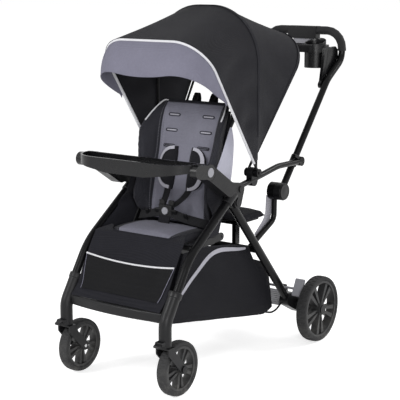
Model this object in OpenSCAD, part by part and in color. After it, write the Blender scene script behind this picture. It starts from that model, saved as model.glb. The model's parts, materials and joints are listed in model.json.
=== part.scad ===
// Tandem sit-and-stand stroller, standing open. Front faces -Y, +X is the rider's left, ground at Z = 0.

/* [Wheels] */
// Diameter of the front wheels
front_wheel_d = 160; // [150:1:166]
// Width of the front tyres
front_wheel_w = 32; // [26:1:36]
// Distance of each front wheel outside the seat's edge
front_track_gap = 45; // [43:1:50]
// Distance from the middle of the stroller forward to the front axles
front_axle_y = 438; // [432:1:444]
// Distance that each front wheel trails behind its swivel
caster_trail = 56; // [48:1:60]
// Diameter of the rear wheels
rear_wheel_d = 214; // [204:1:224]
// Width of the rear tyres
rear_wheel_w = 36; // [30:1:40]
// Distance of each rear wheel outside the seat's edge
rear_track_gap = 100; // [96:1:110]
// Distance from the middle of the stroller back to the rear axle
rear_axle_y = 240; // [232:1:250]
// Diameter of the wheel axles
axle_d = 10; // [8:0.5:11]
// Number of split spokes in each wheel
spoke_count = 5; // [4:1:6]

/* [Frame] */
// Diameter of the front leg tubes
leg_d = 25; // [22:1:26]
// Diameter of the rear leg tubes
rear_leg_d = 26; // [22:1:28]
// Diameter of the handle tube
handle_d = 22; // [20:1:24]
// Diameter of the curved side arms
arm_d = 18; // [16:1:19]
// Distance of each side tube of the handle outside the seat's edge
handle_gap = 10; // [4:1:14]
// Height of the fold hinge where front and rear legs meet
hub_z = 515; // [508:1:522]
// Distance from the middle of the stroller forward to the fold hinge
hub_y = 153; // [148:1:158]
// Height of the middle of the handle bar
handle_z = 988; // [975:1:1010]
// Lean of the handle tubes from level, in degrees
handle_lean = 50.4; // [49:0.2:52]
// Thickness of the side hub and armrest moulding
hub_t = 38; // [34:1:42]
// Diameter of the main hinge pins
pin_d = 10; // [8:0.5:11]
// Diameter of the moulded front leg boots
boot_w = 37; // [35:1:40]

/* [Seat] */
// Half of the seat's width
seat_half = 140; // [134:1:142]
// Height of the seat board
seat_z = 392; // [386:1:398]
// Thickness of the seat cushion
cushion_t = 46; // [38:1:52]
// Height of the seat back along its slope
back_h = 372; // [350:1:390]
// Lean of the seat back from upright, in degrees
back_tilt = 14.7; // [12:0.1:17]
// Depth of the side wings of the seat back
wing = 82; // [70:1:94]

/* [Canopy] */
// Reach of the canopy bows from their pivot
bow_reach = 490; // [480:1:500]
// Diameter of the canopy bows
bow_d = 8; // [7:0.5:9]
// Corner radius of the front canopy bow
bow_r = 105; // [85:1:115]
// Corner radius of the middle canopy bow
roof_r = 165; // [150:1:180]
// Angle between neighbouring bows, in degrees
bow_step = 35; // [32:0.5:38]
// Drop of the visor below the front bow
visor_drop = 96; // [80:1:110]
// Thickness of the cloth solids
cloth_t = 3; // [2.5:0.1:4]

/* [Tray and console] */
// Height of the rim of the child tray
tray_h = 42; // [38:1:46]
// Depth of the child tray from front to back
tray_depth = 86; // [80:1:92]
// Wall of the tray, the console and the cup holders
wall = 4; // [3:0.2:5]
// Inside diameter of the parent cup holders
cup_d = 64; // [58:1:68]
// Depth of the parent cup holders
cup_h = 72; // [60:1:80]

/* [Basket and rear deck] */
// Distance of the storage basket's sides outside the seat's edge
basket_gap = 5; // [0:1:6]
// Height of the basket floor
basket_z = 142; // [138:1:150]
// Thickness of the standing platform
deck_t = 12; // [10:0.5:14]
// Distance of the jump seat's sides inside the seat's edge
bench_inset = 32; // [28:1:40]

/* [Hidden] */
$fn = 48;
// Running gap between a pin and its bore, on the radius
fit = 0.06;
// Gap between a soft piece and what carries it
seat_gap = 0.3;
// Gap of a tube in its socket, on the radius
sock = 0.08;

// Widths that follow the seat's width
front_half_track = seat_half + front_track_gap;
rear_half_track = seat_half + rear_track_gap;
handle_half = seat_half + handle_gap;
basket_half = seat_half + basket_gap;
bench_half = seat_half - bench_inset;

// The tips of the swivel locks and the back of the grip are equally far from the middle
lock_reach = [25, 17];
half_length = front_axle_y + caster_trail + lock_reach[0] + lock_reach[1];
grip_d = handle_d + 6;
handle_y = half_length - grip_d / 2;

// Side view points, as [y, z]
hub = [-hub_y, hub_z];
arm_pivot = hub + [13, 37];
fold_hub = hub + [305, -18];
lean = [cos(handle_lean), sin(handle_lean)];
open_pivot = fold_hub + 117 * lean;
tray_pivot = hub + [-177, 115];
leg_dir = [-0.816, -0.577];
leg_top = hub + [-22, 26];
swivel_y = -front_axle_y - caster_trail;
leg_knee = leg_top + 262 * leg_dir;
leg_ankle = [swivel_y, front_wheel_d + 65];
front_axle = [-front_axle_y, front_wheel_d / 2];
rear_axle_p = [rear_axle_y, rear_wheel_d / 2];
rear_foot = rear_axle_p + [-63, 33];
rear_dir = (rear_foot - hub) / norm(rear_foot - hub);
cross_p = hub + 240 * rear_dir;
brake_p = rear_foot + [15, 34];
canopy_p = arm_pivot + [92, 36];

// Stations across the width, from the middle outwards
side_plate_x = seat_half + 2;
side_plate_t = 5;
rear_leg_x = side_plate_x + side_plate_t + 3 + rear_leg_d / 2;
leg_x = rear_leg_x + rear_leg_d / 2 + 1 + leg_d / 2;
collar_d = handle_d + 6;
arm_in = handle_half + collar_d / 2 + 0.5;
arm_x = arm_in + arm_d / 2;
arm_out = arm_in + arm_d;
hub_x = arm_out + 1.5;
clamp_in = arm_in - 3;
eye_t = bow_d;
front_bow_x = arm_out + 1.5 * eye_t + 2 * seat_gap;
middle_bow_x = arm_out + 0.5 * eye_t + seat_gap;
rear_bow_x = clamp_in - 0.5 * eye_t - 2;
rear_top_x = middle_bow_x;
disc_t = handle_d + 2;
disc_d = 56;
strut_d = 18;
strut_x = handle_half - disc_t / 2 - seat_gap - disc_t / 2;
housing_in = rear_leg_x - rear_leg_d / 2 - 3;
housing_out = rear_half_track - rear_wheel_w / 2 - 10;

// Seat back frame: its foot on the cushion and its hinge
cushion_z = seat_z + 10 + seat_gap;
seat_front = hub[0] - 217;
seat_back = hub[0] - 47;
back_t = 34;
back_foot = [hub[0] - 53, cushion_z + cushion_t - 8];
back_hinge = [back_t + 9, -22];
back_axis = back_foot + [back_hinge[0] * cos(back_tilt) + back_hinge[1] * sin(back_tilt),
    back_hinge[1] * cos(back_tilt) - back_hinge[0] * sin(back_tilt)];

// Helpers

function unit(v) = v / norm(v);
function at(x, p) = [x, p[0], p[1]];
function clamp01(t) = max(0, min(1, t));

// Round bar between two points
module rod(p, q, d) {
    v = q - p;
    translate(p) rotate([0, acos(v[2] / norm(v)), atan2(v[1], v[0])]) cylinder(h = norm(v), d = d);
}

// Round bar along X at a side view point
module cross_rod(x0, x1, p, d) translate(at(x0, p)) rotate([0, 90, 0]) cylinder(h = x1 - x0, d = d);

// Side view outline given thickness along X
module side_plate(x0, x1) translate([x0, 0, 0]) rotate([90, 0, 90]) linear_extrude(x1 - x0) children();

// Bar with round ends between two points of the side view. The bar is a hair slimmer than its round ends,
// so that its edges cross the circles instead of touching them
module link(p, q, w) {
    v = q - p;
    b = 0.997 * w;
    translate(p) rotate(atan2(v[1], v[0])) translate([0, -b / 2]) square([norm(v), b]);
    translate(p) circle(d = w);
    translate(q) circle(d = w);
}

// Bent tube through corner points, each corner rounded to its own radius. ref is a direction it never runs in
function half_angle(p, i) = acos(unit(p[i - 1] - p[i]) * unit(p[i + 1] - p[i])) / 2;
function turn(p, r, i, steps) = let (u = unit(p[i - 1] - p[i]), h = half_angle(p, i),
    c = p[i] + unit(u + unit(p[i + 1] - p[i])) * r / sin(h), x = unit(p[i] + u * r / tan(h) - c))
    [for (k = [0:steps]) let (a = (180 - 2 * h) * k / steps)
        [c + r * (x * cos(a) - u * sin(a)), -x * sin(a) - u * cos(a)]];
function stations(p, r, steps) = concat([[p[0], unit(p[1] - p[0])]],
    [for (i = [1:len(p) - 2]) each turn(p, r[i - 1], i, steps)],
    [[p[len(p) - 1], unit(p[len(p) - 1] - p[len(p) - 2])]]);
function ring(q, d, ref, sides) = let (e = unit(cross(ref, q[1])), f = cross(q[1], e))
    [for (k = [0:sides - 1]) q[0] + d / 2 * (e * cos(360 * k / sides) + f * sin(360 * k / sides))];
module pipe(p, r, d, ref = [1, 0, 0], sides = 16, steps = 5)
    loft([for (q = stations(p, r, steps)) ring(q, d, ref, sides)]);

// Closed skin over rings of points, each ring counter-clockwise seen from the last ring. Each end is closed
// by a strip that joins the first half of its ring to the second half
module loft(rings) {
    n = len(rings);
    m = len(rings[0]);
    walls = [for (i = [0:n - 2], j = [0:m - 1], h = [0, 1])
        let (a = i * m + j, b = i * m + (j + 1) % m)
        h == 0 ? [a, a + m, b + m] : [a, b + m, b]];
    ends = [for (j = [0:m / 2 - 2], h = [0:3])
        let (k = m - 2 - j, o = (n - 1) * m)
        [[j, j + 1, k], [j, k, k + 1], [o + j + 1, o + j, o + k], [o + j, o + k + 1, o + k]][h]];
    polyhedron([for (r = rings) each r], concat(walls, ends));
}

// Stuffed pad on the plane Z = 0 from y0 to y1: crowned top, drawn-in rim, sewn channels at |x| = groove
function plump(u) = pow(max(0, 1 - pow(abs(u), 6)), 0.4);
module pad(half, y0, y1, t, crown, groove, nx = 16, ny = 10) {
    rim = 0.34 * t;
    top = function(u, v) rim + (t - rim) * plump(u) * plump(v) + crown * (1 - u * u) * (1 - v * v)
        - 4 * exp(-pow((abs(u) * half - groove) / 7, 2)) * plump(v);
    under = function(u, v) rim * (1 - plump(u) * plump(v));
    loft([for (j = [0:ny])
        let (v = -1 + 2 * j / ny, y = (y0 + y1) / 2 + (y1 - y0) / 2 * v)
        concat([for (i = [0:nx]) let (u = 1 - 2 * i / nx) [-u * half, y, max(under(u, v), 0)]],
            [for (i = [0:nx]) let (u = 1 - 2 * i / nx) [u * half, y, top(u, v) + 0.2]])]);
}

// Copies for the left side (+X) and the right side
module pair() {
    children();
    mirror([1, 0, 0]) children();
}
module right() mirror([1, 0, 0]) children();

// Front frame

boot_z = front_wheel_d - 3;
stem_d = 12;
lock_p = [swivel_y - lock_reach[0], boot_z + 14];
leg_bends = [220, 60];
leg_path = [leg_top, leg_knee, leg_ankle, [swivel_y, boot_z + 46]];
module leg_tube(d) pipe([for (q = leg_path) at(leg_x, q)], leg_bends, d, [1, 0, 0], 20, 6);
module front_leg_left() color("#333336") leg_tube(leg_d);
module front_leg_right() color("#333336") right() leg_tube(leg_d);

// Moulded boot round the lower bend of the leg, down to the caster
boot_path = [0.45 * leg_knee + 0.55 * leg_ankle, leg_ankle, [swivel_y, boot_z]];
module boot_tube(d) pipe([for (q = boot_path) at(front_half_track, q)], [leg_bends[1]], d, [1, 0, 0], 24, 6);
module leg_boot() {
    difference() {
        union() {
            boot_tube(boot_w);
            for (x = [-12.7, 10]) side_plate(front_half_track + x, front_half_track + x + 2.7)
                link([swivel_y, lock_p[1]], lock_p, 11);
            for (x = [-11, 7]) cross_rod(front_half_track + x, front_half_track + x + 4, lock_p, 4);
        }
        leg_tube(leg_d + 2 * sock);
        translate([front_half_track, swivel_y, boot_z - 1]) cylinder(h = 42, d = stem_d + 2 * fit);
    }
}
module leg_boot_left() color("#2b2b2e") leg_boot();
module leg_boot_right() color("#2b2b2e") right() leg_boot();

crossbar_z = boot_z + 78;
crossbar_y = swivel_y + 13;
crossbar_half = front_half_track - 8;
crossbar_sag = 18;
module front_crossbar() color("#2b2b2e") difference() {
    r = (pow(crossbar_half, 2) + pow(crossbar_sag, 2)) / (2 * crossbar_sag);
    a = asin(crossbar_half / r);
    translate([0, crossbar_y + r - crossbar_sag, crossbar_z]) rotate(-90 - a)
        rotate_extrude(angle = 2 * a, $fn = 200) translate([r - 9, -15]) {
            translate([0, 6]) square([18, 18]);
            translate([6, 0]) square([6, 30]);
            for (x = [6, 12], y = [6, 24]) translate([x, y]) circle(r = 6);
        }
    pair() boot_tube(boot_w + 2 * sock);
}

tray_eye_d = 46;
tray_in = hub_x + hub_t / 2 - 3;
// The armrest bar ends above the leg's top. A thinner plate goes on from there to the two hinge pins
arm_end = hub + [-77, 52];
plate_t = 11;
module armrest() {
    difference() {
        union() {
            side_plate(hub_x + 1, hub_x + hub_t) link(arm_end, tray_pivot, tray_eye_d - 2);
            side_plate(hub_x, hub_x + plate_t) {
                link(hub, arm_pivot, 38);
                link(arm_pivot, arm_end, 38);
            }
        }
        cross_rod(tray_in, hub_x + hub_t + 1, tray_pivot, tray_eye_d + 2);
        rod(at(leg_x, leg_top - sock * leg_dir), at(leg_x, leg_top + 200 * leg_dir), leg_d + 2 * sock);
    }
    cross_rod(side_plate_x - 1, hub_x + 1, hub, pin_d);
    cross_rod(arm_in, hub_x + 1, arm_pivot, pin_d - 2);
    cross_rod(tray_in - 1, tray_in + 10, tray_pivot, pin_d);
}
module armrest_left() color("#2e2e31") armrest();
module armrest_right() color("#2e2e31") right() armrest();

rail_p = leg_top + 225 * leg_dir;
back_pin_d = 8;
module seat_board() color("#3a3a3d") {
    difference() {
        union() {
            translate([-side_plate_x - side_plate_t, seat_front + 6, seat_z])
                cube([2 * (side_plate_x + side_plate_t), seat_back - seat_front - 12, 10]);
            pair() side_plate(side_plate_x, side_plate_x + side_plate_t) {
                link(hub, [seat_back - 30, seat_z + 13], 26);
                link([seat_back - 30, seat_z + 13], [rail_p[0], seat_z + 13], 26);
                link([rail_p[0], seat_z + 13], rail_p, 26);
                link([seat_back - 30, seat_z + 13], back_axis, 24);
            }
            pair() cross_rod(side_plate_x, leg_x - leg_d / 2 - 0.1, rail_p, 16);
        }
        pair() cross_rod(side_plate_x - 1, side_plate_x + side_plate_t + 1, hub, pin_d + 2 * fit);
        pair() cross_rod(side_plate_x - 1, side_plate_x + side_plate_t + 1, back_axis, back_pin_d + 2 * fit);
    }
}

module seat_cushion() color("#7c7c88") translate([0, 0, cushion_z])
    pad(seat_half, seat_front, seat_back, cushion_t - 6, 6, seat_half - 40);

// Cloth from the seat's front edge down between the legs to the cross bar, with two soft folds across it
calf_half = front_half_track - boot_w / 2 - seat_gap;
calf_path = [[seat_front - 4, seat_z + 40], [seat_front - 27, seat_z + 6], [seat_front - 52, seat_z - 34],
    [seat_front - 76, seat_z - 78], [seat_front - 94, seat_z - 112], [crossbar_y - 14, crossbar_z + 15.3]];
module calf_panel() color("#2b2b30") {
    n = len(calf_path) - 1;
    loft([for (j = [0:3 * n])
        let (k = min(n - 1, floor(j / 3)), f = j / 3 - k, q = calf_path[k] * (1 - f) + calf_path[k + 1] * f,
            s = j / (3 * n), belly = 9 * sin(180 * s))
        concat([for (i = [0:12]) let (u = -1 + i / 6) [u * calf_half, q[0] + belly * (1 - u * u)
                + 2 * sin(360 * s * 2.5) * (1 - u * u), q[1]]],
            [for (i = [12:-1:0]) let (u = -1 + i / 6) [u * calf_half, q[0] + belly * (1 - u * u)
                + 2 * sin(360 * s * 2.5) * (1 - u * u) + 2 * cloth_t, q[1] + cloth_t]])]);
}

// Cloth beside the seat with a gusset up to the seat back, and a flap from it to the front leg
side_in = side_plate_x + side_plate_t + seat_gap;
module seat_sides() color("#2b2b30") pair() {
    side_plate(side_in, side_in + cloth_t + 1)
        polygon([[seat_front + 14, seat_z + 27], [seat_back - 20, seat_z + 27], [hub[0] - 36, hub[1] + 36],
            hub + [32, 50], hub + [46, 160], hub + [30, 217], hub + [-42, 96], hub + [-100, 60],
            hub + [-112, -20]]);
    x = leg_x - leg_d / 2 - seat_gap;
    n = cloth_t * [leg_dir[1], -leg_dir[0]];
    loft([for (s = [105, 212]) let (f = (s - 105) / 107, p = leg_top + s * leg_dir,
        q = hub + [-105 - 88 * f, -31 - 63 * f])
        [at(side_in + 2, q), at(x, p), at(x, p + n), at(side_in + 2, q + n)]]);
}

// Storage basket: two sides, floor, front and back, open above
basket_front_low = [swivel_y + 54, basket_z + 62];
basket_front_top = [hub[0] - 197, seat_z - 8];
basket_dip = [hub[0] + 213, basket_z - 28];
basket_back_low = [hub[0] + 272, basket_z - 16];
basket_back_top = [hub[0] + 244, basket_z + 128];
// The outline less its edge bands is cut out between the sides
basket_edge = [basket_front_low, basket_dip, basket_back_low, basket_back_top];
basket_bed = [basket_front_low + [5, 4], basket_dip + [0, cloth_t], basket_back_low + [-cloth_t, cloth_t],
    basket_back_top + [-cloth_t, 1]];
module basket() color("#26262b") difference() {
    side_plate(-basket_half, basket_half) polygon(concat(basket_edge,
        [[cross_p[0] - 8, cross_p[1] - 28], [cross_p[0] - 18, cross_p[1] + 16],
        [hub[0] - 97, seat_z - seat_gap], [basket_front_top[0], seat_z - seat_gap]]));
    side_plate(-basket_half + cloth_t, basket_half - cloth_t) polygon(concat(basket_bed,
        [[basket_back_top[0], seat_z + 9], [basket_front_top[0] + 8, seat_z + 9]]));
}

// Crotch strap up from the cushion to the buckle, and the buckle's shell with its press button
buckle_p = [back_foot[0] - 42, cushion_z + cushion_t + 34];
strap_w = 25;
module crotch_strap() color("#1e1e20") side_plate(-strap_w / 2, strap_w / 2)
    link([buckle_p[0] - 6, cushion_z + cushion_t + 1.5], buckle_p + [-1, -19.5], 2.5);
button_d = 22;
module buckle_space(d, depth) translate([0, buckle_p[0] - 10, buckle_p[1]]) rotate([-90, 0, 0])
    cylinder(h = depth, d = d);
module buckle() color("#232326") difference() {
    translate([-24, buckle_p[0] - 7, buckle_p[1] - 18]) cube([48, 14, 36]);
    buckle_space(button_d + 2 * seat_gap, 12);
}
module buckle_button() color("#9a9aa4") buckle_space(button_d, 8);

// Casters

module caster_fork() {
    in = front_wheel_w / 2 + 3;
    difference() {
        union() {
            translate([front_half_track - in - 5, swivel_y - 15, boot_z - 4.5]) cube([2 * in + 10, 30, 4]);
            for (s = [-1, 1]) let (x = front_half_track + s * (in + 2.5)) side_plate(x - 2.5, x + 2.5) {
                link([swivel_y, boot_z - 17], front_axle, 26);
                translate([swivel_y - 12.95, boot_z - 17]) square([25.9, 14]);
            }
            translate([front_half_track, swivel_y, boot_z - 2]) cylinder(h = 40, d = stem_d);
        }
        cross_rod(front_half_track - in - 6, front_half_track + in + 6, front_axle, axle_d + 2 * sock);
    }
}
module caster_fork_left() color("#2f2f32") caster_fork();
module caster_fork_right() color("#2f2f32") right() caster_fork();

front_axle_half = front_wheel_w / 2 + 8.5;
module front_axle()
    cross_rod(front_half_track - front_axle_half, front_half_track + front_axle_half, front_axle, axle_d);
module front_axle_left() color("silver") front_axle();
module front_axle_right() color("silver") right() front_axle();

// Wheels, made round Z at the origin, then stood on their axle
tread = 15;
function out(r, a) = r * [cos(a), sin(a)];
module rim(d, w, hub_d) difference() {
    r = d / 2 - tread;
    union() {
        rotate_extrude() {
            translate([axle_d / 2 + fit, -w / 2 - 1]) square([hub_d / 2 - axle_d / 2 - fit, w + 2]);
            translate([r - 7, -w / 2 + 3]) square([7, w - 6]);
        }
        for (i = [0:spoke_count - 1], s = [-1, 1]) rotate(i * 360 / spoke_count)
            translate([0, 0, -w / 2 + 6]) linear_extrude(w - 12)
                polygon([[hub_d / 2 - 3, s * 1.5], out(r - 3, s * 5.5), out(r - 3, s * 15),
                    [hub_d / 2 - 3, s * 7.5]]);
    }
    cylinder(h = 3 * w, d = axle_d + 2 * fit, center = true);
}
module tyre(d, w) rotate_extrude() difference() {
    translate([d / 2 - tread + seat_gap / 3, 0]) intersection() {
        translate([tread - 0.62 * w - seat_gap / 3, 0]) circle(r = 0.62 * w);
        translate([0, -w / 2]) square([tread, w]);
    }
}
module on_axle(x, p) translate(at(x, p)) rotate([0, 90, 0]) children();
module front_rim() on_axle(front_half_track, front_axle) rim(front_wheel_d, front_wheel_w, 30);
module front_tyre() on_axle(front_half_track, front_axle) tyre(front_wheel_d, front_wheel_w);
module rear_rim() on_axle(rear_half_track, rear_axle_p) rim(rear_wheel_d, rear_wheel_w, 38);
module rear_tyre() on_axle(rear_half_track, rear_axle_p) tyre(rear_wheel_d, rear_wheel_w);
module front_rim_left() color("#4a4a4d") front_rim();
module front_rim_right() color("#4a4a4d") right() front_rim();
module front_tyre_left() color("#3c3c3e") front_tyre();
module front_tyre_right() color("#3c3c3e") right() front_tyre();
module rear_rim_left() color("#4a4a4d") rear_rim();
module rear_rim_right() color("#4a4a4d") right() rear_rim();
module rear_tyre_left() color("#3c3c3e") rear_tyre();
module rear_tyre_right() color("#3c3c3e") right() rear_tyre();

module swivel_lock() difference() {
    side_plate(front_half_track - 9.7, front_half_track + 9.7) {
        translate(lock_p) circle(d = 11);
        link(lock_p, lock_p + [4 - lock_reach[1], -5], 8);
    }
    cross_rod(front_half_track - 11, front_half_track + 11, lock_p, 4 + 2 * fit);
}
module swivel_lock_left() color("#55555a") swivel_lock();
module swivel_lock_right() color("#55555a") right() swivel_lock();

// Rear frame

module rear_leg_line(d) rod(at(rear_leg_x, hub), at(rear_leg_x, rear_foot), d);
module rear_leg() difference() {
    union() {
        rear_leg_line(rear_leg_d);
        cross_rod(rear_leg_x - rear_leg_d / 2 + 2, rear_leg_x + rear_leg_d / 2 - 2, hub, rear_leg_d + 14);
    }
    cross_rod(rear_leg_x - rear_leg_d, rear_leg_x + rear_leg_d, hub, pin_d + 2 * fit);
}
module rear_leg_left() color("#303033") rear_leg();
module rear_leg_right() color("#303033") right() rear_leg();

strut_path = [at(strut_x, fold_hub), at(strut_x, fold_hub + [-2, -92]), at(strut_x, cross_p)];
module fold_struts() color("#303033") difference() {
    pair() {
        pipe(strut_path, [30], strut_d);
        cross_rod(strut_x - disc_t / 2, strut_x + disc_t / 2, fold_hub, disc_d);
    }
    cross_rod(-rear_leg_x, rear_leg_x, fold_hub, pin_d + 2 * fit);
    cross_rod(-rear_leg_x, rear_leg_x, cross_p, strut_d + 2 + 2 * sock);
}

bench_z = cross_p[1] + 72;
module rear_cross_tube() color("#303033") {
    difference() {
        cross_rod(-rear_leg_x, rear_leg_x, cross_p, strut_d + 2);
        pair() rear_leg_line(rear_leg_d + 2 * sock);
    }
    pair() translate([60, cross_p[0] + 4, cross_p[1] + 5]) cube([14, 22, bench_z - cross_p[1] - 5]);
    translate([-80, cross_p[0] + 4, bench_z - 4]) cube([160, 120, 4]);
}

module bench() color("#26262a") translate([0, 0, bench_z + seat_gap])
    pad(bench_half, cross_p[0] + 2, cross_p[0] + 142, 30, 4, bench_half - 30, 12, 8);

belt_x = strut_x - disc_t / 2 - seat_gap;
module bench_belt() color("#a9a8b2") pair()
    side_plate(belt_x - 2.2, belt_x) {
    link(fold_hub + [-5, -28], fold_hub + [-5, -76], 36);
    link(fold_hub + [-5, -76], fold_hub + [-64, -142], 36);
}

module rear_axle() color("silver") {
    half = rear_half_track + rear_wheel_w / 2 + 4;
    cross_rod(-half, half, rear_axle_p, axle_d);
    cross_rod(-housing_in - 4, housing_in + 4, rear_axle_p, 2 * axle_d);
}

module axle_housings() color("#2b2b2e") pair() difference() {
    union() {
        side_plate(housing_in, rear_leg_x + rear_leg_d / 2 + 2) link(rear_foot, rear_axle_p, 44);
        side_plate(rear_leg_x, housing_out) link(rear_axle_p + [-18, 9], rear_axle_p, 40);
        side_plate(housing_in - 10, housing_in + 0.1) {
            link(rear_axle_p + [-34, 26], brake_p, 20);
            link(rear_axle_p + [-34, 26], rear_axle_p, 36);
        }
    }
    rod(at(rear_leg_x, hub), at(rear_leg_x, rear_foot + 0.1 * rear_dir), rear_leg_d + 2 * sock);
    cross_rod(housing_in - 20, housing_out + 1, rear_axle_p, axle_d + 2 * sock);
    cross_rod(housing_in - 20, housing_in + 4 + sock, rear_axle_p, 2 * axle_d + 2 * sock);
    cross_rod(housing_in - 20, housing_in + 1, brake_p, 8 + 2 * fit);
    cross_rod(housing_in + 0.1, rear_leg_x, brake_p, 20);
}

deck_z = rear_axle_p[1] + axle_d + sock;
module standing_platform() color("#8b8b90") {
    half = housing_in - 10 - seat_gap;
    translate([-half, rear_axle_y - 75, deck_z]) cube([2 * half, 130, deck_t]);
    for (y = [-60:20:40]) translate([-half + 12, rear_axle_y + y, deck_z + deck_t - 1])
        cube([2 * half - 24, 6, 3]);
}

module brake_bar() color("#8b8b90") {
    cross_rod(-housing_out + 1, housing_out - 1, brake_p, 8);
    pair() side_plate(rear_leg_x + rear_leg_d / 2 + 3, housing_out - 1)
        link(brake_p + [-9, -17], brake_p + [13, 27], 10);
}

// Handle

bar_y = handle_y;
bend_low = fold_hub + 436 * lean;
bend_top = [bar_y, handle_z - 93];
handle_path = [at(handle_half, fold_hub), at(handle_half, bend_low), at(handle_half, bend_top),
    [handle_half, bar_y, handle_z], [-handle_half, bar_y, handle_z], at(-handle_half, bend_top),
    at(-handle_half, bend_low), at(-handle_half, fold_hub)];
grip_path = [[handle_half, bar_y, handle_z - 66], [handle_half, bar_y, handle_z],
    [-handle_half, bar_y, handle_z], [-handle_half, bar_y, handle_z - 66]];
module handle_tube() color("#333336") difference() {
    pipe(handle_path, [120, 50, 58, 58, 50, 120], handle_d, [0, 1, -1]);
    pair() cross_rod(0, rear_leg_x, fold_hub, disc_d + 2 * sock);
}

module fold_hubs() color("#2b2b2e") pair() {
    cross_rod(handle_half - disc_t / 2, handle_half + disc_t / 2, fold_hub, disc_d);
    cross_rod(strut_x - disc_t / 2 - 2, handle_half, fold_hub, pin_d);
    difference() {
        rod(at(handle_half, open_pivot - 18 * lean), at(handle_half, open_pivot + 18 * lean), collar_d);
        rod(at(handle_half, fold_hub), at(handle_half, open_pivot + 40 * lean), handle_d + 2 * sock);
    }
}

box_half = 56;
module handle_grip() color("#2a2a2c") difference() {
    pipe(grip_path, [58, 58], grip_d, [0, 1, -1]);
    pipe(grip_path, [58, 58], handle_d + 2 * sock, [0, 1, -1]);
    translate([-box_half - sock, bar_y - 30, handle_z - 30]) cube([2 * box_half + 2 * sock, 60, 60]);
    pair() translate([handle_half, bar_y, handle_z - 66]) cylinder(h = 0.4, d = grip_d + 1, center = true);
}

trigger_half = 38;
trigger_top = handle_z - handle_d / 2 - 7.5;
module handle_housing() color("#2b2b2e") difference() {
    translate([-box_half, bar_y - grip_d / 2, handle_z - 28]) cube([2 * box_half, grip_d, 28 + grip_d / 2]);
    cross_rod(-box_half - 1, box_half + 1, [bar_y, handle_z], handle_d + 2 * sock);
    translate([-trigger_half - seat_gap, bar_y - 8 - seat_gap, handle_z - 29])
        cube([2 * (trigger_half + seat_gap), 16 + 2 * seat_gap, trigger_top + 6.5 - handle_z + 29]);
}
module fold_trigger() color("#8d8d95") translate([-trigger_half, bar_y - 8, handle_z - 48])
    cube([2 * trigger_half, 16, trigger_top - handle_z + 48]);

// Parent console between the handle tubes, with a cup holder on each side
console_z = handle_z - 44;
console_y = bar_y - 67;
console_half = handle_half - handle_d / 2 - 3;
clip_p = fold_hub + 427 * lean;
cup_x = console_half - cup_d / 2 - wall - 14;
module parent_console() color("#2a2a2d") difference() {
    union() {
        translate([0, 0, console_z - 24]) linear_extrude(24)
            link([-cup_x, console_y], [cup_x, console_y], 2 * (console_half - 4 - cup_x));
        pair() translate([cup_x, console_y, console_z - cup_h - wall])
            cylinder(h = cup_h + wall, d = cup_d + 2 * wall);
        pair() side_plate(console_half - 8, handle_half - handle_d / 2 - seat_gap) {
            link(clip_p, [console_y - 10, console_z - 14], 26);
            link(clip_p - 14 * lean, clip_p + 14 * lean, 23);
        }
    }
    pair() translate([cup_x, console_y, console_z - cup_h]) cylinder(h = cup_h + 1, d = cup_d);
    translate([-cup_x + cup_d / 2 + wall + 3, console_y - 38, console_z - 14 + wall])
        cube([2 * (cup_x - cup_d / 2 - wall - 3), 76, 14]);
}

// Side arms

arm_path = [at(arm_x, arm_pivot), at(arm_x, arm_pivot + [110, 16]), at(arm_x, open_pivot + [-132, 1]),
    at(arm_x, open_pivot)];
module arm_tube(d) pipe(arm_path, [180, 180], d);
module side_arm() difference() {
    union() {
        arm_tube(arm_d);
        cross_rod(arm_in + 1, arm_out - 1, arm_pivot, 36);
        cross_rod(arm_in + 1, arm_out - 1, open_pivot, 30);
        side_plate(arm_in + 3, arm_out - 3) link(open_pivot + [-12, 12], open_pivot + [-34, 22], 10);
    }
    cross_rod(arm_in - 1, arm_out + 1, arm_pivot, pin_d - 2 + 2 * fit);
}
module side_arm_left() color("#333336") side_arm();
module side_arm_right() color("#333336") right() side_arm();

bow_pin_d = 8;
module canopy_clamps() color("#2b2b2e") pair() {
    difference() {
        side_plate(clamp_in, arm_out - 1) link(canopy_p, canopy_p + [2, -26], 32);
        arm_tube(arm_d + 2 * sock);
    }
    cross_rod(rear_bow_x - eye_t / 2 - 2, front_bow_x + eye_t / 2 + 3, canopy_p, bow_pin_d);
    cross_rod(rear_bow_x + eye_t / 2 + seat_gap, clamp_in + 1, canopy_p, bow_pin_d + 6);
}

// Canopy: three bows on one pivot, cloth between them and a visor on the front one

front_angle = 90 - bow_step;
function bow_point(x, s, a) = [x, canopy_p[0] - s * cos(a), canopy_p[1] + s * sin(a)];
module bow(x, top, r, a) difference() {
    union() {
        pipe([bow_point(x, 9, a), bow_point(top, bow_reach, a), bow_point(-top, bow_reach, a),
            bow_point(-x, 9, a)], [r, r], bow_d, [0, sin(a), cos(a)], 12, 8);
        pair() cross_rod(x - eye_t / 2, x + eye_t / 2, canopy_p, 26);
    }
    pair() cross_rod(x - eye_t / 2 - 1, x + eye_t / 2 + 1, canopy_p, bow_pin_d + 2 * fit);
}
module canopy_front_bow() color("#c8c8cf") bow(front_bow_x, front_bow_x, bow_r, front_angle);
module canopy_middle_bow() color("#3a3a3d") bow(middle_bow_x, middle_bow_x, roof_r, 90);
module canopy_rear_bow() color("#3a3a3d") bow(rear_bow_x, rear_top_x, bow_r + 15, 90 + bow_step);

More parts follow.
